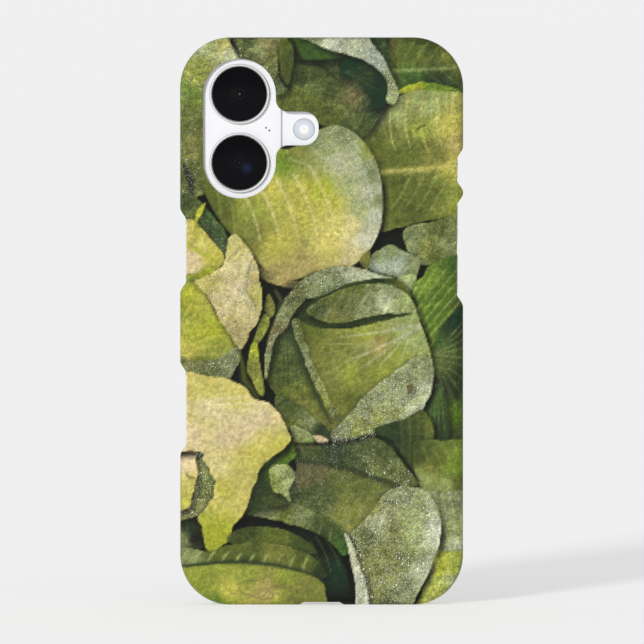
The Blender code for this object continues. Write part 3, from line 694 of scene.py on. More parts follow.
def pale_head(p):
    p.leaf(
        [(-32.5, 120), (-31, 128), (-20, 127), (-11, 121.8), (-6, 122.9), (-1, 126.6), (4, 127.9),
         (8, 126.4), (11.6, 123), (14.6, 118), (16.1, 111.5), (16.2, 105), (15.4, 100), (13, 95), (9, 91),
         (4, 88.9), (-2, 88), (-9, 86.6), (-14, 88.6), (-17.6, 92), (-20.6, 95.4), (-24.8, 99.6),
         (-28.8, 105.2), (-32, 112.5)],
        [(-10, 118, "meadow"), (-7, 121, "khaki"), (-14, 111, "straw"), (-20, 105, "leaf"),
         (-26, 104.5, "olive"), (-29, 109, "olive"), (-31, 114, "olive"), (-5, 104, "straw"),
         (-5, 110, "straw"), (0, 111, "lime"), (4, 101, "butter"), (8, 101, "cream"), (-12, 96, "straw"),
         (-18, 98, "khaki"), (-5, 91, "tan"), (-11, 88.5, "tan"), (2, 95, "butter"), (3, 107, "straw"),
         (-2, 124.6, "sage", 0.5), (2, 122, "celery", 0.7), (6, 124.6, "sage", 0.6),
         (5, 118.6, "frost", 1.0), (9, 120.6, "frost", 0.9), (10, 115, "frost", 1.0),
         (8, 112.6, "celery", 0.8), (13.6, 116, "sage", 0.6), (13, 110, "ice", 1.0), (14, 104, "ice", 0.9),
         (12, 98, "ice", 0.8), (15.4, 108, "sage", 0.3), (8.6, 93.4, "cream", 0.6),
         (10.6, 105, "celery", 0.6), (12, 121.4, "leaf", 0.2)],
        [fan(((-21, 110), (-3, 116.5)), ((-16, 94), (4.4, 97)), 5, 2.0, 0.35, 0.5, "chalk"),
         fan(((-28, 112), (-22, 110)), ((-27, 102), (-19, 97)), 3, 0.6, 0.3, 0.35, "celery")],
        crinkle=0.45, dew=0.08, shadow=0.8, torn=0.05)
    p.stroke([(-3, 122), (2.4, 118), (6, 112.6), (7.6, 107)], 0.3, "cream", 0.6)
    p.stroke([(1, 124.4), (7, 119), (10.6, 112), (12, 104)], 0.3, "cream", 0.5)
    p.stroke([(5, 126), (11, 119), (13.6, 112), (14.6, 104)], 0.25, "meadow", 0.5)
    p.stroke([(-9, 119), (-4, 117.6), (-0.6, 113.6)], 0.3, "ice", 0.4)


def left_leaves(p):
    p.leaf(
        [(-52, 112), (-36, 109.8), (-32, 107.4), (-28.4, 103), (-25.6, 99.6), (-24.8, 96.5), (-26, 93.6),
         (-29.4, 95.8), (-32.6, 99), (-35, 103), (-52, 104)],
        [(-35.5, 108, "moss"), (-31, 104, "fern"), (-27.5, 98, "fern"), (-30, 99, "bottle"),
         (-26.5, 95, "moss"), (-34, 104, "olive")],
        [fan((-36, 105), ((-26, 95), (-28, 103)), 4, bend=0.6, width=0.22, strength=0.4, tint="sage")],
        dew=0.35, edge=0.5, crinkle=1.4)
    p.leaf(
        [(-52, 103.5), (-36, 103), (-33.6, 102.6), (-31, 99.2), (-27, 94.6), (-25.8, 91.8), (-28, 89.6),
         (-34, 88.2), (-52, 87.5)],
        [(-35, 99, "butter"), (-31, 95.5, "butter"), (-34, 92.6, "blush"), (-36, 90, "blush"),
         (-29, 92, "straw"), (-28, 94, "straw")],
        [fan((-37.5, 97), (-26, 90.6), 1, width=0.7, strength=0.8, tint="lime"),
         fan((-34, 103), ((-32.6, 96), (-29, 93.5)), 2, bend=0.4, width=0.3, strength=0.5, tint="lime")],
        crinkle=0.4)
    p.leaf(
        [(-33.6, 104.4), (-32.6, 106), (-31, 107.3), (-31.6, 105), (-32.6, 103.2), (-33.4, 102)],
        [(-32, 105.5, "lime"), (-33, 103.5, "lime")], shadow=0.5, torn=0.0)
    p.stroke([(-33.5, 103.4), (-33.8, 100), (-33.2, 96.6)], 0.35, "lime")
    p.leaf(
        [(-52, 88), (-36, 88), (-31, 89.8), (-27, 89.8), (-29, 88), (-33.5, 85.8), (-52, 83)],
        [(-35, 86.6, "leaf"), (-30, 88.8, "lime")])
    p.leaf(
        [(-52, 84), (-37, 85.8), (-33, 85.6), (-30.4, 81.6), (-27, 76.8), (-24, 72.6), (-22, 69.6),
         (-21.4, 66), (-23.4, 62.5), (-25.6, 60), (-31, 61), (-37, 62), (-52, 64)],
        [(-35, 81, "lime"), (-31.4, 81, "straw"), (-35, 73, "lime"), (-29, 73, "lime"), (-25.5, 69, "leaf"),
         (-36, 67.5, "straw"), (-33, 63.4, "olive"), (-25, 63, "sage"), (-28, 65.5, "leaf"),
         (-37, 77, "leaf"), (-23, 66, "khaki")],
        [fan((-42, 66), ((-32, 84), (-22, 66.5)), 7, bend=1.5, width=0.55, strength=0.45)],
        crinkle=0.5, dew=0.05)
    p.leaf(
        [(-39, 66.4), (-33, 65.2), (-27, 66.4), (-23, 69), (-21.6, 66), (-23.4, 62.5), (-25.6, 60),
         (-31, 61.2), (-39, 62.5)],
        [(-35, 64.5, "khaki"), (-30, 63.5, "olive"), (-25, 64.6, "sage"), (-23.4, 66.5, "sage")],
        dew=0.8, shadow=0.0, torn=0.5)
    p.leaf(
        [(-17, 90), (-13.6, 88.8), (-9, 86.9), (-4, 86.2), (-6.5, 84.6), (-10, 84.8), (-14, 86),
         (-16.8, 88)],
        [(-15, 88.4, "bark"), (-11, 86.6, "tan"), (-7, 85.4, "bark")], edge=0.3)
    stems = [
        ([(-14.4, 83), (-13, 81.4), (-12.4, 78.4), (-13.8, 76.4), (-15.2, 79)], "khaki"),
        ([(-15.4, 77.6), (-13.8, 75.4), (-15.6, 71.4), (-18.6, 68.4), (-17.6, 72.4)], "leaf"),
        ([(-18.8, 69.4), (-17.2, 69.8), (-16.6, 65), (-15.6, 60), (-15.4, 56), (-17, 56.6),
          (-18.6, 60), (-20, 63), (-19.4, 66.4)], "lime"),
    ]
    for outline, tint in stems:
        p.leaf(outline, [(*outline[1], tint), (*outline[-2], "khaki")], crinkle=1.2, torn=0.1)
    p.stroke([(-21.4, 66), (-20.6, 60), (-17, 55)], 0.9, "olive", 0.8)
    p.stroke([(-12.4, 84), (-10.6, 81), (-11.8, 79)], 0.6, "sage", 0.5)
    p.leaf(
        [(-24.6, 98.4), (-22.6, 98.8), (-20.6, 96.8), (-18.6, 93.6), (-17.3, 90.6), (-16.6, 86.4),
         (-15.8, 83), (-16, 79), (-17, 76), (-19, 73), (-20.4, 70), (-22, 68.3), (-24.6, 72.6), (-28, 77.6),
         (-31, 83.4), (-34, 86.4), (-30, 88), (-26.8, 90.4), (-25.4, 93)],
        [(-23, 96, "butter"), (-20, 91, "cream"), (-25, 88.4, "cream"), (-29.6, 86.4, "butter"),
         (-22, 84, "blush"), (-25, 80, "cream"), (-20.6, 77, "cream"), (-21.4, 71.4, "tan"),
         (-17, 83, "straw"), (-18, 87.6, "tan"), (-23, 75, "tan")],
        crinkle=0.8, dew=0.75, shadow=0.75, edge=0.2, torn=0.6)
    p.stroke([(-18.6, 92), (-19.8, 88), (-20.2, 84), (-17.8, 80.6), (-17.4, 77)], 0.5, "bark", 0.4)
    p.stroke([(-19.4, 92), (-20.6, 88), (-21.2, 83.6), (-18.8, 79.6)], 0.4, "ice", 0.45)


def right_leaves(p):
    p.leaf(
        [(21.6, 99.6), (24.6, 101.4), (30, 102.2), (36, 104.3), (52, 107), (52, 93), (35, 91.4), (28, 90.6),
         (25, 92), (22.4, 95.8)],
        [(25, 98, "sage"), (32, 99, "olive"), (24, 94.4, "sage"), (30, 93.6, "olive"), (36, 98, "sage"),
         (28, 96, "khaki"), (33, 96, "sage"), (22, 98, "sage")], crinkle=1.5, dew=0.3, edge=0.45)
    p.leaf(
        [(12.4, 90.4), (13, 93), (15.4, 95), (19, 96), (21, 94.6), (24, 93.4), (26.1, 91.6), (25.4, 88),
         (23.6, 86), (20, 87.6), (15, 88.4)],
        [(15, 93, "sage"), (20, 91, "mist"), (24, 90, "sage"), (15, 90, "mist"), (19, 94.6, "sage")],
        [fan((19, 86), ((13, 93), (25.5, 92)), 6, bend=0.5, width=0.25, strength=0.4, tint="ice")],
        crinkle=0.8, dew=0.25, edge=0.2)
    p.leaf(
        [(20.4, 87.6), (25, 88), (24.6, 85), (23, 83), (21, 84.6)],
        [(23, 86, "celery"), (22.4, 84.4, "frost")], dew=0.3, torn=0.3)
    p.leaf([(10, 92), (12.4, 94.4), (13.2, 92.4), (12, 89.6)], [(12, 92, "khaki")], shadow=0.3)
    p.leaf(
        [(28.6, 90.4), (33, 92.6), (37, 93.4), (52, 95), (52, 60), (34, 59), (30.4, 63), (28.6, 68.5),
         (27, 74), (25.2, 79), (23.5, 82.4), (25, 86), (27, 88)],
        [(27.4, 86, "meadow"), (30, 87.6, "meadow"), (25.4, 81, "grass"), (32, 83, "grass"),
         (35.6, 90, "fern"), (30, 76, "grass"), (36, 80, "moss"), (35, 72, "bottle"), (33, 77.4, "grass"),
         (31, 71, "grass")],
        [fan(((24.6, 83), (28.6, 66)), ((30, 93), (52, 90)), 9, 0.8, 0.32, 0.55, "celery")],
        crinkle=0.9, shadow=0.8, edge=0.2)
    p.leaf(
        [(29.4, 68), (31, 73), (34.6, 77.4), (39, 80), (52, 82), (52, 43), (34, 43), (33.4, 48), (31, 55),
         (30, 62)],
        [(35, 72, "bottle"), (34, 66, "moss"), (34, 58, "bottle"), (37, 62, "bottle"), (36, 76, "pine"),
         (31.6, 65, "olive"), (35.6, 50, "grass"), (36, 46, "moss"), (32, 70, "fern")],
        [fan((29.6, 67), ((46, 86), (46, 66)), 5, bend=-1.2, width=0.35, strength=0.5, tint="sage"),
         fan((30, 65.6), ((44, 61), (34.6, 44)), 5, bend=1.2, width=0.3, strength=0.45, tint="sage")],
        crinkle=1.2, shadow=0.5, edge=0.3)
    p.leaf(
        [(24, 48), (28, 54), (30.4, 60), (32.6, 56), (33.8, 50), (33.4, 43), (29, 40), (24, 42)],
        [(29, 52, "fern"), (31.6, 48, "bottle"), (27, 45, "bottle")],
        [fan(((28, 56), (31, 60)), ((24.6, 43), (33, 43.6)), 6, 0.6, 0.22, 0.4, "sage")],
        crinkle=0.6, edge=0.0)


def middle_head(p):
    p.leaf(
        [(-14.6, 60), (-15, 68), (-13.4, 75), (-10, 81.6), (-5.6, 86.6), (0, 89.5), (6, 90.3), (13, 89),
         (19, 87.6), (23, 84), (25.2, 79), (27, 73), (28.6, 68), (29.4, 62), (27.6, 55), (24, 50), (13, 46),
         (5, 44.4), (-1, 45.6), (-7, 49.6), (-11.4, 55)],
        [(-11, 68, "moss"), (-9, 72.4, "bottle"), (-6, 64, "moss"), (-10, 60, "moss"), (-5, 58, "olive"),
         (15, 86, "fern"), (6, 84, "moss"), (21, 85, "olive"), (-2, 50, "khaki"), (-6, 53, "khaki"),
         (-9, 57, "olive")],
        [fan(((-11, 75), (-7, 76)), ((-11, 57), (-4, 50)), 6, 0.8, 0.35, 0.35, "sage")],
        shadow=0.9, crinkle=1.3)
    p.leaf(
        [(-14.9, 60), (-15, 67), (-13, 74.6), (-9.6, 81.4), (-5, 86.4), (-1.5, 87.5), (-4, 82.4), (-8, 77),
         (-9.4, 74), (-12, 71.4), (-13.6, 66)],
        [(-14.2, 65, "sage"), (-12.4, 73, "bark"), (-9.4, 79, "sage"), (-5, 84, "sage"), (-7, 80, "olive")],
        dew=0.5, crinkle=1.4, edge=0.3)
    p.leaf(
        [(-10, 81.4), (-6, 86.2), (-1.6, 88.8), (4, 90.3), (10, 89.8), (15, 88.4), (19, 87.2), (13, 87),
         (6, 85.4), (1, 82.8), (-3, 81.8), (-6.6, 82.6)],
        [(0, 86, "sage"), (8, 88.6, "frost"), (14, 88.2, "frost"), (-5.6, 84, "olive"), (-2, 83, "sage"),
         (4, 86.6, "sage"), (-8, 82.6, "bark")], dew=0.8, crinkle=1.2, edge=0.15)
    p.stroke([(-3, 80.4), (1, 83), (6, 85), (12, 86.4)], 0.8, "moss", 0.7)
    p.leaf(
        [(-4, 78.4), (-1.4, 81), (5.8, 84.4), (12, 85.6), (18.2, 85.4), (23.2, 82.4), (25, 79),
         (24.4, 77.8), (18.2, 77.8), (12, 76.8), (7, 75.4), (2, 75.3), (-2, 76.6)],
        [(0, 79, "moss"), (6, 80, "olive"), (13, 82, "sage"), (17, 81, "frost"), (22, 80.6, "celery"),
         (3, 77, "khaki"), (20, 84, "sage"), (10, 84, "olive"), (12, 79, "sage"), (3, 82.6, "olive")],
        [fan(((6, 84), (20, 84)), ((0, 76), (14, 77.4)), 5, 0.8, 0.25, 0.3, "ice")],
        dew=0.35, crinkle=1.2, edge=0.35, shadow=0.7)
    p.leaf(
        [(-6.6, 76.2), (-2.4, 74.2), (7, 73.8), (15.6, 75.6), (23.8, 77.6), (25.6, 77), (27.4, 72.4),
         (29, 66.4), (26.4, 65.4), (19.5, 61.6), (12, 55.4), (7.6, 50.4), (4, 46.6), (0.6, 50), (-0.6, 56),
         (-2.4, 62), (-4.4, 68)],
        [(-3, 73, "olive"), (5, 71, "khaki"), (12, 73, "leaf"), (22, 74, "celery"), (20, 68, "leaf"),
         (12, 66, "khaki"), (7.6, 62, "leaf"), (12, 60, "khaki"), (3, 60, "khaki"), (4, 52, "khaki"),
         (25, 70, "celery"), (16, 62, "leaf"), (0, 66, "khaki"), (8, 54, "olive"), (15, 69, "tan")],
        [fan((28.4, 75.4), ((3, 71.5), (4, 64)), 2, bend=1.2, width=0.4, strength=0.7, tint="frost"),
         fan((23, 73), ((8, 62), (20, 64)), 3, bend=1.4, width=0.32, strength=0.6, tint="frost"),
         fan((28, 74), ((2, 74.5), (12, 76)), 2, bend=0.4, width=0.25, strength=0.4, tint="frost"),
         fan((14, 70), ((-2, 70), (0, 58)), 5, bend=0.8, width=0.22, strength=0.3, tint="frost")],
        crinkle=0.6, shadow=0.75, edge=0.2, dew=0.08)
    p.stroke([(-5, 76.4), (0, 74.6), (7, 74.8), (15, 76.4), (24, 77.8)], 0.55, "bottle", 0.85)
    p.stroke([(-8.4, 75), (-6.2, 68), (-3.8, 61.6), (-0.8, 55), (2.4, 48.6)], 1.1, "bottle", 0.75)
    p.leaf(
        [(-8, 75.4), (-6.2, 75.8), (-4.4, 70), (-2.4, 64.8), (-0.2, 60), (3, 53.4), (6, 48.6), (5, 48),
         (1.6, 52.4), (-1.4, 57.6), (-3.6, 63), (-6, 69)],
        [(-6, 72, "olive"), (-3.8, 66, "sage"), (-1.2, 60, "khaki"), (1, 55, "leaf"), (3.6, 50, "olive")],
        dew=0.8, edge=0.1, torn=0.7, shadow=0.35, crinkle=1.5)
    p.leaf(
        [(2.4, 45.6), (2.8, 43.2), (4.6, 42.4), (8, 43.8), (12, 44.6), (18.2, 46.4), (24.4, 49),
         (27.6, 53.6), (29.6, 58.8), (30.1, 62.8), (28.6, 66.4), (24.4, 65.7), (19.5, 62.6), (12, 56.4),
         (7.6, 51.4), (4, 47.8)],
        [(5, 45.4, "sage"), (12, 51.6, "sage"), (16, 55.6, "sage"), (20, 59, "sage"),
         (27, 62.6, "sage", 0.5), (28.4, 58, "frost", 0.6), (24.6, 51.4, "frost"), (10, 46.6, "leaf"),
         (15, 49.4, "leaf", 0.7), (19, 50.4, "khaki", 0.7), (18, 47.8, "frost"), (22.6, 55, "sage")],
        dew=1.0, crinkle=1.6, shadow=0.8, edge=0.25, torn=0.55)
    p.leaf(
        [(22.8, 58.6), (24.2, 58.8), (24, 57.4), (23.2, 56.8)],
        [(23.5, 57.8, "bark")], shadow=0.3, edge=-0.4)


def lower_right(p):
    p.leaf(
        [(14, 47), (22, 49.6), (27, 52), (30, 46), (27, 38), (25, 32), (22, 36), (18, 42)],
        [(25, 47, "moss"), (20, 45, "bottle"), (25, 38, "moss"), (29, 48, "olive")],
        [fan(((21, 50), (30, 51)), ((21, 37), (29, 38)), 5, 0.8, 0.25, 0.35, "sage")],
        crinkle=0.8, edge=0.0)
    p.leaf(
        [(24.8, 43.6), (31, 44), (52, 43.4), (52, 28), (31, 28.6), (27.2, 30.8), (25.4, 33.6),
         (24.4, 38.6)],
        [(30, 38, "olive"), (35, 37, "meadow"), (26.6, 40, "moss"), (33, 32, "celery"), (36, 33, "olive"),
         (27.4, 33.6, "celery"), (29, 36, "khaki")],
        [fan(((27, 42), (38, 42)), ((30, 31), (44, 30)), 5, 0.8, 0.35, 0.35, "leaf")],
        crinkle=0.7, edge=0.2)
    p.leaf(
        [(29, 30), (34, 30.4), (52, 30), (52, 13), (36, 13.6), (31, 15), (31, 24)],
        [(34, 26, "sage"), (36, 21, "celery"), (36, 16, "frost"), (33, 18, "sage")],
        [fan(((30, 30), (40, 30)), ((31, 16), (42, 16)), 6, 1.2, 0.3, 0.5, "frost")], crinkle=1.4, dew=0.3)
    p.leaf(
        [(30, 15), (34, 14.2), (52, 14), (52, -14), (20, -14), (26, 2), (28.6, 9)],
        [(31, 10, "lime"), (36, 10, "leaf"), (33, 4, "leaf"), (35, 5.6, "frost"), (29, 3, "lime")],
        [fan((27, -2), ((37, 6), (32, 14)), 3, bend=0.8, width=0.5, strength=0.5, tint="frost")],
        crinkle=1.4, dew=0.25)


def lower_middle(p):
    p.leaf(
        [(-12, 56), (-7, 54), (-2, 50), (2, 46.4), (2, 44), (-4, 44), (-8, 46), (-12, 51)],
        [(-9, 52, "moss"), (-4, 49, "sage"), (0, 46, "bottle"), (-8, 48, "olive")],
        crinkle=1.6, dew=0.2, edge=0.2)
    p.leaf(
        [(-8.2, 48), (-5, 47), (-2.6, 45.4), (-1.8, 42.6), (-3, 40.6), (-5.6, 41.2), (-7.6, 43.8)],
        [(-6, 45.6, "sage"), (-3.4, 42, "meadow"), (-4, 45, "celery")], dew=0.3, edge=0.4)
    p.leaf([(-2.6, 45.4), (0, 45), (2, 43.6), (-0.4, 42.8)], [(0, 44, "blush")], shadow=0.6)
    p.leaf(
        [(-8, 42), (-3, 42.4), (4, 43.2), (10, 44.4), (15, 44.6), (19, 41.4), (22, 37.4), (25.6, 32.4),
         (22, 30.6), (17, 29.6), (15, 26.6), (13, 22), (9.4, 18.6), (5, 19), (0, 23), (-5, 25.6),
         (-9, 26.8), (-8.4, 32), (-6.6, 36.6)],
        [(-5, 34, "bark"), (0, 30, "moss"), (5, 33, "olive"), (10, 30, "olive"), (8, 25, "khaki"),
         (15, 33, "olive"), (0, 36.6, "bark"), (5, 22, "khaki"), (-6, 29, "moss"), (12, 26, "khaki"),
         (18, 30.6, "olive"), (-2, 27, "moss")],
        [fan((-7, 27), ((14, 34), (8, 21)), 4, bend=1.0, width=0.4, strength=0.2, tint="leaf")],
        crinkle=0.9, dew=0.35, shadow=0.8)
    p.leaf(
        [(-7.6, 41.6), (-3, 42), (4, 43), (10, 44.4), (15, 44.5), (18.6, 41.6), (22, 37.4), (25, 32.6),
         (23, 31.2), (18, 33.2), (13, 34.8), (6, 37.2), (0, 38.2), (-6.4, 38.8)],
        [(-4, 40.4, "moss"), (4, 40, "bottle"), (11, 41, "moss"), (14, 37.6, "olive", 0.8),
         (20, 35, "olive", 0.7), (17, 42, "moss"), (8, 38, "moss", 0.4)], dew=0.35, crinkle=1.3, edge=0.15)
    p.stroke([(-6.4, 38.6), (0, 37.8), (6, 36.8), (13, 34.4), (20, 32.4)], 0.55, "bottle", 0.8)
    p.stroke([(-7, 43), (0, 42.9), (8, 43.8), (14, 45.4), (19, 43.6)], 0.7, "night", 0.9)
    p.stroke([(19, 43), (22, 38.6), (26, 33)], 0.5, "night", 0.8)
    p.leaf(
        [(7, 18.2), (10.4, 21.6), (13.4, 25), (15.6, 28.6), (18, 30.7), (21, 31.7), (25, 31.4), (28.4, 30),
         (30.6, 26.6), (31.8, 22), (31.4, 17), (30, 12.4), (28, 7.6), (26, 3.6), (24, -2), (22, -14),
         (9, -14), (9.6, 2), (8.6, 8), (7.6, 14)],
        [(14, 26, "khaki"), (20, 29.4, "sage"), (27, 28, "celery"), (30, 20, "ice"), (25, 20, "celery"),
         (12, 18, "olive"), (12, 10, "khaki"), (17, 14, "khaki"), (22, 12, "olive"), (26, 9, "frost"),
         (15, 3, "khaki"), (21, 3, "sage"), (20, 20, "khaki"), (15, 22, "frost"), (18, 0, "olive")],
        dew=1.0, crinkle=1.6, shadow=0.85, edge=0.25, torn=0.3)
    p.stroke([(28, 29), (30, 24), (30.4, 18), (28.6, 11), (26, 5)], 1.0, "ice", 0.45)
    p.leaf(
        [(-19.6, 22), (-18, 24.6), (-10, 24), (-4, 21.6), (1, 18), (5.4, 12), (7.6, 4), (8, -14), (-3, -14),
         (0, 4), (-4, 12), (-10, 16.6), (-18, 19)],
        [(-12, 21, "night"), (0, 15, "night"), (4, 8, "pine"), (5, 0, "night"), (-2, 12, "bottle")],
        [fan(((0, 19), (-3, 17)), ((5.4, 8), (0, 6)), 3, 1.5, 0.18, 0.45, "sage")], crinkle=0.4, edge=0.0)
    p.leaf(
        [(-19.8, 24.4), (-17.2, 27), (-13, 28), (-8, 27.2), (-3, 25.4), (2, 22.8), (5.6, 19.6), (7.6, 15.6),
         (6.2, 13), (4, 15), (0, 18.4), (-6, 20.8), (-12, 22.6)],
        [(-14, 25.6, "sage"), (-6, 24, "sage"), (1, 20, "moss"), (5.6, 16, "fern"), (-10, 24, "olive")],
        [fan(((-16, 24), (2, 17)), ((-12, 27.6), (3, 21)), 7, 0.4, 0.2, 0.3, "frost")],
        crinkle=1.2, dew=0.15, edge=0.45)
    p.leaf(
        [(6, 19), (7.6, 17.6), (9.4, 12.4), (11.4, 7.4), (12.3, 3), (12.8, -14), (9.2, -14), (9, 3),
         (8.2, 9), (7, 14.6)],
        [(8, 14, "frost"), (10.4, 7, "ice"), (11, 1, "ice")], dew=0.9, crinkle=1.5, shadow=0.7)


def torn_leaf(p):
    p.leaf(
        [(-20, 24), (-19, 30), (-17.6, 35.6), (-14, 39), (-10, 42), (-8, 44.6), (-7, 40), (-9, 37),
         (-9, 28), (-14, 26)],
        [(-17, 31, "bottle"), (-14, 37, "fern"), (-11, 40, "grass"), (-12, 29, "moss")],
        crinkle=1.4, edge=0.1, dew=0.1)
    p.leaf(
        [(-13.6, 37), (-10.6, 37.8), (-8, 36.6), (-7.2, 33.8), (-8.8, 31), (-8.4, 27.6), (-10.4, 29.6),
         (-13, 30.4), (-13.9, 33.6)],
        [(-11, 35, "celery"), (-9, 31, "celery"), (-12.6, 33, "leaf")], dew=0.6, crinkle=1.5)
    p.leaf(
        [(-52, 24), (-36, 23.6), (-33, 22), (-32, 15), (-52, 14)],
        [(-36, 22, "bottle"), (-34, 18, "night"), (-37, 17, "sage")], crinkle=1.5, edge=0.0)
    p.leaf(
        [(-34, 42), (-31.4, 40), (-28.6, 37), (-28, 32), (-29.6, 27.6), (-33, 23.6), (-52, 21), (-52, 27),
         (-36, 27), (-34.4, 33), (-34.6, 38)],
        [(-31.4, 36, "leaf"), (-30.4, 31, "olive"), (-34, 26, "khaki"), (-31, 28, "khaki")],
        dew=0.8, crinkle=1.5)
    p.leaf(
        [(-52, 43), (-35, 41.4), (-33.4, 38.4), (-33.4, 33), (-34.6, 28.6), (-37, 25.4), (-52, 24)],
        [(-36, 38, "blush"), (-35, 32, "butter"), (-37, 28, "straw")], crinkle=0.5, shadow=0.7, torn=0.5)
    p.leaf(
        [(-52, 62), (-36, 62), (-30, 61.2), (-25, 60.2), (-21, 58.6), (-18.4, 55.6), (-14, 53.8),
         (-11.4, 51), (-10, 48.4), (-8.3, 45.4), (-9.6, 42), (-13, 39.6), (-16, 36.6), (-18, 32.4),
         (-19.6, 28), (-21, 24), (-23.6, 20.6), (-24.2, 17.6), (-27, 15.4), (-29.3, 12.4), (-31.4, 17),
         (-32.2, 21), (-33.4, 23.4), (-31, 26), (-28.9, 30), (-28.6, 33.4), (-29.8, 36), (-31.8, 38.8),
         (-33.4, 41), (-52, 42)],
        [(-30, 58, "butter"), (-22, 55, "butter"), (-15, 50, "blush"), (-30, 48, "cream"),
         (-25, 45, "blush"), (-15, 45, "butter"), (-12, 42, "straw"), (-35, 53, "butter"),
         (-22, 38, "butter"), (-26, 30, "straw"), (-22, 28, "butter"), (-28, 20, "lime"), (-29, 15, "lime"),
         (-20, 47, "blush"), (-27, 38, "cream"), (-35, 46, "blush"), (-30, 52, "cream"), (-18, 40, "straw"),
         (-13, 53, "cream")],
        [fan((-42, 53), ((-9.5, 45.5), (-10, 56)), 5, bend=1.0, width=0.6, strength=0.55, tint="chalk"),
         fan((-42, 50), ((-22, 24), (-30, 20)), 4, bend=-5.0, width=0.55, strength=0.55, tint="chalk"),
         fan(((-18, 46), (-29, 47)), ((-19, 31), (-29.5, 15)), 5, 1.8, 0.35, 0.35, "cream"),
         fan((-16, 48), ((-10, 41), (-17, 33)), 4, bend=0.5, width=0.3, strength=0.3, tint="cream")],
        crinkle=0.25, shadow=0.85, edge=0.12, torn=0.5, dew=0.1)
    for bend in ([(-36.2, 41), (-34.6, 41.2), (-33, 40.4)], [(-36.4, 35.4), (-35.4, 34.2), (-33.8, 33.8)]):
        p.stroke(bend, 0.35, "bark", 0.8)


def bottom_head(p):
    p.leaf(
        [(-25, 17), (-23, 20), (-16, 21), (-10, 20), (-4.6, 17.6), (-1.6, 14), (-8, 14), (-20, 15.6)],
        [(-20, 18.6, "moss"), (-12, 18, "olive"), (-5, 15.6, "moss")],
        [fan((-18, 16), ((-24, 20), (-8, 19)), 5, bend=0.3, width=0.2, strength=0.3, tint="leaf")],
        crinkle=0.9, edge=0.15)
    p.leaf(
        [(-52, 16), (-36, 15.2), (-30.4, 14.4), (-26, 15.8), (-20, 16.6), (-12, 16.2), (-5, 14.2),
         (-1, 11.6), (1.4, 7.4), (-5, 8.6), (-12, 10), (-20, 10.6), (-36, 10), (-52, 9)],
        [(-34, 13, "sage"), (-28, 13, "olive"), (-22, 14, "olive"), (-12, 13.4, "khaki"),
         (-4, 11.4, "olive"), (0, 9, "bottle"), (-20, 11.4, "moss")],
        [fan(((-38, 11), (-5, 8.8)), ((-35, 15), (-3, 13.6)), 10, 0.9, 0.42, 0.8, "celery")], crinkle=0.7)
    p.leaf(
        [(-52, 9.6), (-36, 10.2), (-28, 11.1), (-20, 11.2), (-12, 10.4), (-5, 8.8), (-1, 7), (1, 3),
         (1.4, -14), (-52, -14)],
        [(-30, 8.6, "leaf"), (-20, 8, "leaf"), (-10, 7, "leaf"), (-3, 5, "khaki"), (-33, 5, "leaf"),
         (-25, 4, "straw"), (-15, 3.4, "tan"), (-5, 2, "khaki"), (-28, 0.6, "meadow"), (-12, -2, "leaf")],
        crinkle=0.5, shadow=0.9, edge=0.1)
    p.stroke(
        [(-48, 9.6), (-36, 10.4), (-28, 11.4), (-20, 11.4), (-12, 10.6), (-5, 9), (0, 7)],
        0.6, "bottle", 0.9)
    where = p.near([(-36, -4), (-1, 9)], 1.0)
    at = p.at[where]
    warped = at + 0.7 * np.stack([smooth_noise(at, 2.0, 51), smooth_noise(at, 2.0, 52)], 1)
    creases = np.exp(-((smooth_noise(warped, 4.2, 61) / 0.07) ** 2))
    creases += np.exp(-((smooth_noise(warped * (1, 1.3), 2.9, 64) / 0.06) ** 2))
    spread = soft_step(7, 3, np.hypot((at[:, 0] + 15) / 2.6, at[:, 1] - 4.4))
    p.tinted(where, 0.5 * np.clip(creases, 0, 1) * spread, "bark")


# Materials


class Value:
    """A socket that takes part in arithmetic: an expression on values adds its Math nodes."""

    def __init__(self, finish, socket):
        self.finish, self.socket = finish, socket

    def _math(self, operation, *terms):
        inputs = dict(enumerate(terms))
        return self.finish.node("ShaderNodeMath", inputs, operation=operation)

    def __add__(self, other):
        return self._math("ADD", self, other)

    def __radd__(self, other):
        return self._math("ADD", other, self)

    def __sub__(self, other):
        return self._math("SUBTRACT", self, other)

    def __rsub__(self, other):
        return self._math("SUBTRACT", other, self)

    def __mul__(self, other):
        return self._math("MULTIPLY", self, other)

    def __rmul__(self, other):
        return self._math("MULTIPLY", other, self)

    def __truediv__(self, other):
        return self._math("DIVIDE", self, other)

    def __abs__(self):
        return self._math("ABSOLUTE", self)

    def sine(self):
        return self._math("SINE", self)

    def above(self, low, high):
        """0 below low and 1 above high, with a smooth rise between; high may be the lower one."""
        inputs = {"Value": self, "From Min": low, "From Max": high}
        return self.finish.node("ShaderNodeMapRange", inputs, interpolation_type="SMOOTHSTEP")


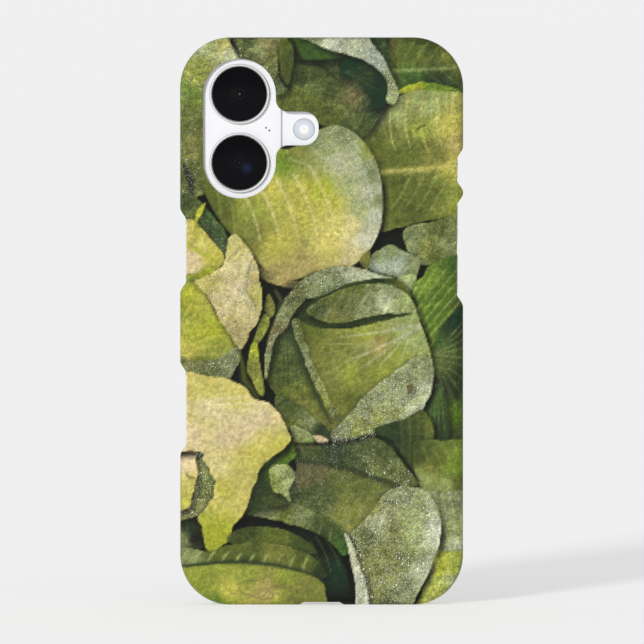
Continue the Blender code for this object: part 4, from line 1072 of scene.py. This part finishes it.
class Finish:
    """A material made of nodes round one Principled shader."""

    def __init__(self, name, **constants):
        self.material = bpy.data.materials.new(name)
        self.material.use_nodes = True
        self.tree = self.material.node_tree
        self.shader = self.tree.nodes["Principled BSDF"]
        self.set(**constants)

    def set(self, **inputs):
        for name, value in inputs.items():
            self.plug(self.shader.inputs[name.replace("_", " ").title().replace("Ior", "IOR")], value)

    def plug(self, socket, value):
        if isinstance(value, Value):
            self.tree.links.new(value.socket, socket)
        elif isinstance(value, tuple) and len(value) == 3 and socket.type == "RGBA":
            socket.default_value = (*value, 1.0)
        else:
            socket.default_value = value

    def node(self, kind, inputs=None, output=0, stops=None, **settings):
        made = self.tree.nodes.new(kind)
        for name, value in settings.items():
            setattr(made, name, value)
        if stops:
            ramp = made.color_ramp.elements
            for _ in range(len(stops) - 2):
                ramp.new(0.5)
            for element, (place, colour) in zip(ramp, stops):
                element.position, element.color = place, (*colour, 1.0)
        for name, value in (inputs or {}).items():
            self.plug(made.inputs[name], value)
        return Value(self, made.outputs[output])

    def mix(self, amount, a, b, blend="MIX"):
        inputs = {0: amount, 6: a, 7: b}
        return self.node("ShaderNodeMix", inputs, 2, data_type="RGBA", blend_type=blend)

    def ramp(self, amount, *stops):
        return self.node("ShaderNodeValToRGB", {"Fac": amount}, stops=stops)

    def place(self, size=(1, 1, 1), centre=(0, 0, 0)):
        """Object coordinates about a centre, stretched by size."""
        at = self.node("ShaderNodeTexCoord", output="Object")
        moved = self.node("ShaderNodeVectorMath", {0: at, 1: centre}, operation="SUBTRACT")
        return self.node("ShaderNodeVectorMath", {0: moved, 1: size}, operation="MULTIPLY")

    def part(self, vector, index):
        return self.node("ShaderNodeSeparateXYZ", {0: vector}, index)

    def radius(self, x, z):
        """The distance in metres from an axis along Y."""
        inputs = {0: self.place((1, 0, 1), (x, 0, z))}
        return self.node("ShaderNodeVectorMath", inputs, "Value", operation="LENGTH")

    def noise(self, scale, detail=3.0, at=None, rough=0.5):
        inputs = {"Vector": at or self.place(), "Scale": scale, "Detail": detail, "Roughness": rough}
        return self.node("ShaderNodeTexNoise", inputs)

    def bump(self, height, strength=0.2, distance=0.1 * MM):
        inputs = {"Height": height, "Strength": strength, "Distance": distance}
        self.set(Normal=self.node("ShaderNodeBump", inputs))


def print_finish():
    """The printed picture: leaf texture finer than the painted points, dew, and a satin coat."""
    f = Finish("cabbage_print", specular_ior_level=0.12)
    picture, at, wet, rough = (
        f.node("ShaderNodeAttribute", output=output, attribute_name=name)
        for name, output in (("print", "Color"), ("place", "Vector"), ("dew", "Fac"), ("rough", "Fac"))
    )
    fibre = f.noise(1.9, 3.0, at, 0.75)
    patch = f.noise(0.35, 3.0, at)
    lit = f.mix((fibre - 0.5) * (0.5 + 2.1 * rough) + 0.5, (0.55, 0.56, 0.5), (1.45, 1.44, 1.43))
    colour = f.mix(1.0, picture, lit, "MULTIPLY")
    warm = f.mix((patch - 0.5) * 1.4 + 0.5, (0.93, 1.0, 1.02), (1.07, 1.0, 0.94))
    colour = f.mix(1.0, colour, warm, "MULTIPLY")
    for scale, width, share in ((0.62, 0.1, 0.5), (1.5, 0.14, 0.35)):
        wave = f.node("ShaderNodeTexNoise", {"Vector": at, "Scale": 0.7 * scale}, "Color")
        bent = f.node("ShaderNodeVectorMath", {0: wave, 1: (1.1 / scale, 1.1 / scale, 0), 2: at},
                      operation="MULTIPLY_ADD")
        cells = f.node("ShaderNodeTexVoronoi", {"Vector": bent, "Scale": scale}, "Distance",
                       feature="DISTANCE_TO_EDGE", voronoi_dimensions="2D")
        where = f.noise(0.25 * scale, 2.0, bent).above(0.35, 0.62)
        pale = f.mix(1.0, colour, (1.5, 1.45, 1.5), "MULTIPLY")
        colour = f.mix(cells.above(width, 0.0) * where * share, colour, pale)
    shade = (0.04, 0.05, 0.025)
    specks = f.noise(5.5, 2.0, at, 0.7)
    colour = f.mix(specks.above(0.52, 0.3) * wet * 0.65, colour, shade)
    for scale, share in ((3.6, 0.25), (2.2, 0.5), (1.25, 0.72)):
        drops = f.node("ShaderNodeTexVoronoi", {"Vector": at, "Scale": scale}, "Distance")
        which = f.node("ShaderNodeTexVoronoi", {"Vector": at, "Scale": scale}, "Color")
        chosen = f.node("ShaderNodeSeparateColor", {"Color": which}, 0).above(share, share + 0.2)
        rim = drops.above(0.26, 0.36) * drops.above(0.58, 0.4) * chosen * wet
        colour = f.mix(rim * 0.45, colour, shade)
        glint = drops.above(0.32, 0.16) * chosen * (wet * 1.25).above(0.1, 1.0)
        colour = f.mix(glint * 0.9, colour, (0.74, 0.76, 0.66))
    f.set(base_color=colour, roughness=0.5 - 0.08 * patch)
    f.bump(f.noise(900.0, 2.0), 0.04)
    return f.material


def plastic_finish(name, colour, roughness, grain=2500.0, strength=0.1):
    f = Finish(name)
    cloud = f.noise(grain / 12)
    dark = tuple(0.86 * part for part in colour)
    f.set(base_color=f.mix(cloud, dark, colour), roughness=roughness + (cloud - 0.5) * 0.12)
    f.bump(f.noise(grain, 2.0), strength, 0.03 * MM)
    return f.material


def metal_finish(name, colour, roughness=0.3, stretch=(1, 1, 1), metallic=1.0, grain=1200.0):
    f = Finish(name, metallic=metallic)
    brushed = f.noise(grain, 4.0, f.place(stretch))
    dark = tuple(0.8 * part for part in colour)
    f.set(base_color=f.mix(brushed, dark, colour), roughness=roughness + (brushed - 0.5) * 0.2)
    f.bump(brushed, 0.05, 0.02 * MM)
    return f.material


def white_glass_finish():
    """Satin back glass, backed in white, with a faint cloudiness in its frosting."""
    f = Finish("white_back_glass", specular_ior_level=0.4, coat_weight=0.15, coat_roughness=0.3)
    cloud = f.noise(220.0)
    tone = f.mix(cloud, (0.69, 0.69, 0.71), (0.73, 0.73, 0.745))
    f.set(base_color=tone, roughness=0.42 + cloud * 0.06)
    f.bump(f.noise(6000.0, 2.0), 0.05, 0.01 * MM)
    return f.material


def lens_finish(name, z, tint, painted_reflection, reflection_x, reflection_z):
    """Black cover glass over a lens: faint rings of the barrel, a painted glint in the middle and a soft
    coloured painted reflection to one side."""
    f = Finish(name, roughness=0.06, specular_ior_level=0.06)
    black, rings_end = (0.0026, 0.0028, 0.0035), 7.0
    radius = f.radius(LENS_X, z) * (1 / MM)
    # tint, the colour at the very centre, is a painted glint that fades out within about 0.35 mm
    rings = f.ramp(radius / rings_end, (0.0, tint), (0.05, (0.004, 0.004, 0.006)), (0.17, black),
                   (0.2, (0.012, 0.012, 0.014)), (0.215, black), (0.34, black),
                   (0.36, (0.007, 0.007, 0.009)), (0.375, black), (1.0, black))
    # painted reflection: a soft coloured patch off to one side, full within 0.2 mm of its own centre and
    # gone by 2.1 mm
    spread = f.radius(LENS_X + reflection_x * MM, z + reflection_z * MM) * (1 / MM)
    f.set(base_color=f.mix(spread.above(2.1, 0.2), rings, painted_reflection))
    return f.material


def flash_finish():
    """A clear ribbed cover: a pale ring, a white diffuser and a warm speck of phosphor."""
    f = Finish("flash_cover", roughness=0.22, specular_ior_level=0.4, coat_weight=0.4)
    radius = f.radius(FLASH_X, FLASH_Z) * (1 / MM)
    tone = f.ramp(radius / 2.8, (0.0, (0.8, 0.55, 0.42)), (0.14, (0.78, 0.72, 0.7)),
                  (0.34, (0.74, 0.75, 0.78)), (0.52, (0.56, 0.58, 0.62)), (0.8, (0.5, 0.53, 0.58)),
                  (1.0, (0.44, 0.46, 0.5)))
    f.set(base_color=tone)
    f.bump((radius * 14.0).sine(), 0.25, 0.03 * MM)
    return f.material


def screen_finish():
    """A dark display under glass, with a blacker border round it."""
    f = Finish("screen_glass", roughness=0.05, specular_ior_level=0.35)
    at = f.place(centre=(0, 0, MIDDLE_Z))
    across, up = abs(f.part(at, 0)), abs(f.part(at, 2))
    half_width, half_height, fade = 33.1 * MM, 71.0 * MM, 0.2 * MM
    lit = across.above(half_width + fade, half_width) * up.above(half_height + fade, half_height)
    cloud = f.noise(60.0)
    panel = f.mix(cloud, (0.006, 0.0065, 0.009), (0.009, 0.0095, 0.013))
    f.set(base_color=f.mix(lit, (0.0015, 0.0015, 0.0018), panel))
    return f.material


def board_finish():
    """A circuit board: solder mask with traces, pads and rows of small parts."""
    f = Finish("board", roughness=0.4)
    at = f.place((1, 0, 1))
    cells = f.node("ShaderNodeTexVoronoi", {"Vector": at, "Scale": 900.0}, "Distance",
                   distance="CHEBYCHEV")
    lines = f.node("ShaderNodeTexBrick", {"Vector": f.place((1, 0, 0)), "Scale": 900.0}, "Fac")
    mask = f.mix(f.noise(400.0), (0.008, 0.035, 0.028), (0.015, 0.06, 0.045))
    mask = f.mix(lines * 0.35, mask, (0.05, 0.12, 0.07))
    f.set(base_color=f.mix(cells.above(0.2, 0.12), mask, (0.5, 0.42, 0.22)))
    f.bump(cells, 0.4, 0.1 * MM)
    return f.material


def winding_finish():
    """Copper wire wound flat: fine rings about the coil's axis."""
    f = Finish("copper_winding", metallic=1.0)
    pitch = 0.5 * MM
    turn = (f.radius(0, MIDDLE_Z) * (2 * math.pi / pitch)).sine()
    f.set(base_color=f.mix(turn * 0.5 + 0.5, (0.35, 0.13, 0.06), (0.85, 0.42, 0.22)),
          roughness=0.3 + 0.1 * f.noise(500.0))
    f.bump(turn, 0.5, 0.15 * MM)
    return f.material


# Pieces


def add(piece, material, nodes, body=PHONE):
    """Gives a piece its finish, its body and the solids that it stands for."""
    if not piece.data.materials:
        piece.data.materials.append(material)
    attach(piece, body)
    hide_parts(*nodes)
    return piece


def case_piece():
    """The case: material 0 is the picture and material 1 the plain lining."""
    case = printed_case()
    case.data.materials.append(print_finish())
    case.data.materials.append(plastic_finish("case_lining", (0.74, 0.74, 0.72), 0.5, 1500.0))
    add(case, None, ["case_shell"])


def back_glass_piece():
    """The back glass: a plate with the hollow camera plateau on it, and its holes."""
    low = (BACK_LOW.x, BACK_FACE_Y, BACK_LOW.z)
    glass = new_object(
        "back_glass_and_plateau", slab(low, BACK_HIGH, GLASS_CORNER, back_round=0.15 * MM)
    )
    plateau = pill(PLATEAU_HALF_WIDTH, (PLATEAU_Y, BACK_HIGH.y - GLASS_THICK / 2), 0.5 * MM)
    combined(glass, [plateau], "UNION")
    holes = [(LENS_X, z, LENS_HOLE) for z in LENS_Z.values()]
    holes += [(FLASH_X, FLASH_Z, FLASH_HOLE), *((x, z, MIC_HOLE) for x, z in MIC_HOLES)]
    through = (2 * CASE_LOW.y, 0)
    tools = [prism(arc(x, z, radius, 0, 352.5, 47), through) for x, z, radius in holes]
    tools.insert(0, pill(PLATEAU_HALF_WIDTH - GLASS_THICK, (PLATEAU_Y + GLASS_THICK, 0)))
    combined(glass, tools)
    add(shaded(glass), white_glass_finish(), ["back_glass"])


def lens_pieces():
    """Each lens's ring, with a rounded lip, a sloped inner wall and a flange behind, and its
    cover glass."""
    metal = metal_finish("lens_ring_metal", (0.7, 0.695, 0.705), 0.42, metallic=0.12, grain=3000.0)
    back, front = (corner[1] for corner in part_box("upper_lens_ring"))
    round_lip, lip_middle, bore, flange, flange_thick = (v * MM for v in (0.22, 7.72, 7.2, 8.8, 0.35))
    lip = [
        (lip_middle + round_lip * math.sin(a), back + round_lip - round_lip * math.cos(a))
        for a in np.linspace(-math.pi / 2, math.pi / 2, 9)
    ]
    profile = [
        *lip, (lip_middle + round_lip, front - flange_thick), (flange, front - flange_thick),
        (flange, front), (bore, front), (bore, back + 0.7 * MM),
    ]
    painted_lens_glints = {  # the centre's painted glint, the painted reflection's tint, and the reflection's place in millimetres
        "upper": ((0.16, 0.165, 0.18), (0.006, 0.0055, 0.0055), -1.5, 0.3),
        "lower": ((0.02, 0.024, 0.03), (0.008, 0.012, 0.034), 2.0, -1.4),
    }
    for name, z in LENS_Z.items():
        ring = shaded(new_object(f"{name}_ring", turned(profile, LENS_X, z, 96)))
        add(ring, metal, [f"{name}_lens_ring"])
        near, far = (corner[1] for corner in LENS[name])
        dome = [*domed(LENS_RADIUS, near, 0.12 * MM, 8), (LENS_RADIUS, far), (0.0, far)]
        glass = shaded(new_object(f"{name}_cover_glass", turned(dome, LENS_X, z, 96)))
        finish = lens_finish(f"{name}_lens", z, *painted_lens_glints[name])
        add(glass, finish, [f"{name}_lens_glass"])


def flash_piece():
    near, far = FLASH_LOW[1], FLASH_HIGH[1]
    dome = [*domed(FLASH_RADIUS, near, 0.1 * MM, 6), (FLASH_RADIUS, far), (0.0, far)]
    cover = shaded(new_object("flash_cover_piece", turned(dome, FLASH_X, FLASH_Z, 64)))
    add(cover, flash_finish(), ["flash_lens"])


def key_pieces():
    """The five side keys, with softly rounded faces."""
    metal = metal_finish("key_metal", (0.9, 0.9, 0.91), 0.35, (1, 1, 8), 0.6)
    for node in frame["bodies"]:
        if node == PHONE:
            continue
        low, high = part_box(node)
        outer_end = "front_round" if high[0] > 0 else "back_round"
        key = slab(low, high, KEY_CORNER, 14, round_steps=4, axis="X", **{outer_end: 0.3 * MM})
        add(shaded(new_object(f"{node}_key", key)), metal, [node], node)


def screen_piece():
    """The screen, with the notch for the earpiece in its upper edge."""
    glass = new_object("screen", slab(FRONT_LOW, FRONT_HIGH, GLASS_CORNER, front_round=0.35 * MM))
    notch_low, notch_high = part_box("earpiece_mesh")
    reach = Vector((FIT, PAST, FIT))
    notch = slab(Vector(notch_low) - reach, Vector(notch_high) + reach + Vector((0, 0, PAST)))
    combined(glass, [notch])
    add(shaded(glass), screen_finish(), ["front_glass"])


def inner_finishes():
    """The finishes of the solids that stay as they are, by slot."""
    return {
        "band_aluminium": metal_finish("band_metal", (0.9, 0.9, 0.905), 0.35, (1, 8, 1), 0.6),
        "black_glass": plastic_finish("panel_black", (0.008, 0.008, 0.01), 0.2, strength=0.02),
        "steel": metal_finish("stamped_steel", (0.6, 0.6, 0.6), 0.35, (1, 1, 10)),
        "magnet": metal_finish("plated_magnets", (0.5, 0.5, 0.53), 0.25),
        "lens_black": plastic_finish("camera_housing", (0.012, 0.012, 0.013), 0.5),
        "black_plastic": plastic_finish("black_plastic", (0.015, 0.015, 0.016), 0.5),
        "chip_package": plastic_finish("chip_package", (0.025, 0.025, 0.027), 0.5, 3000.0),
        "circuit_board": board_finish(),
        "flex_circuit": plastic_finish("flex_film", (0.42, 0.17, 0.035), 0.35),
        "battery_wrap": plastic_finish("battery_film", (0.02, 0.02, 0.022), 0.4, 800.0),
        "copper_winding": winding_finish(),
    }


case_piece()
back_glass_piece()
lens_pieces()
flash_piece()
key_pieces()
screen_piece()

finishes = inner_finishes()
slots = {part["node"]: part["material_slot"] for part in frame["record"]["subparts"]}
for node, solid in frame["nodes"].items():
    if slots[node] in finishes:
        solid.data.materials.clear()
        solid.data.materials.append(finishes[slots[node]])


# The floor, the light and the camera


def stage_floor():
    shape = bmesh.new()
    bmesh.ops.create_grid(shape, x_segments=1, y_segments=1, size=40.0)
    floor = new_object("floor", shape)
    paper = Finish("pale_floor", roughness=0.9, specular_ior_level=0.1, emission_strength=0.463)
    paper.set(base_color=(0.6, 0.6, 0.6), emission_color=(1.0, 1.0, 1.0))
    floor.data.materials.append(paper.material)
    floor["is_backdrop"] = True


def sun(name, strength, softness, elevation, azimuth):
    """A soft, distant light. Azimuth 0 shines along +Y and grows towards +X."""
    lamp = bpy.data.lights.new(name, "SUN")
    lamp.energy, lamp.angle = strength, math.radians(softness)
    made = bpy.data.objects.new(name, lamp)
    bpy.context.scene.collection.objects.link(made)
    made.rotation_euler = (math.radians(90 - elevation), 0, math.radians(-azimuth))


def studio():
    world = bpy.data.worlds.new("studio")
    world.use_nodes = True
    world.node_tree.nodes["Background"].inputs["Color"].default_value = (1.0, 1.0, 1.0, 1.0)
    world.node_tree.nodes["Background"].inputs["Strength"].default_value = 0.45
    bpy.context.scene.world = world
    sun("key_light", strength=2.35, softness=9.0, elevation=17.0, azimuth=24.0)
    bpy.context.scene.view_settings.view_transform = "Standard"


def camera():
    lens = bpy.data.cameras.new("camera")
    distance, view_height, tilt = 3.0, 171.55 * MM, math.radians(2.0)
    lens.sensor_width = 36.0
    lens.lens = lens.sensor_width * distance / view_height
    made = bpy.data.objects.new("camera", lens)
    bpy.context.scene.collection.objects.link(made)
    target = Vector((0.09 * MM, CASE_LOW.y, 75.5 * MM))
    made.location = target + distance * Vector((0, -math.cos(tilt), math.sin(tilt)))
    made.rotation_euler = (math.radians(90) - tilt, 0, 0)
    lens.clip_start, lens.clip_end = 0.1, 200.0
    bpy.context.scene.camera = made


stage_floor()
studio()
camera()

visual_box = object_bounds()
boxes = {"cad": cad_box, "visual": visual_box}
{k: [[float(x) for x in corner] for corner in box] for k, box in boxes.items()}
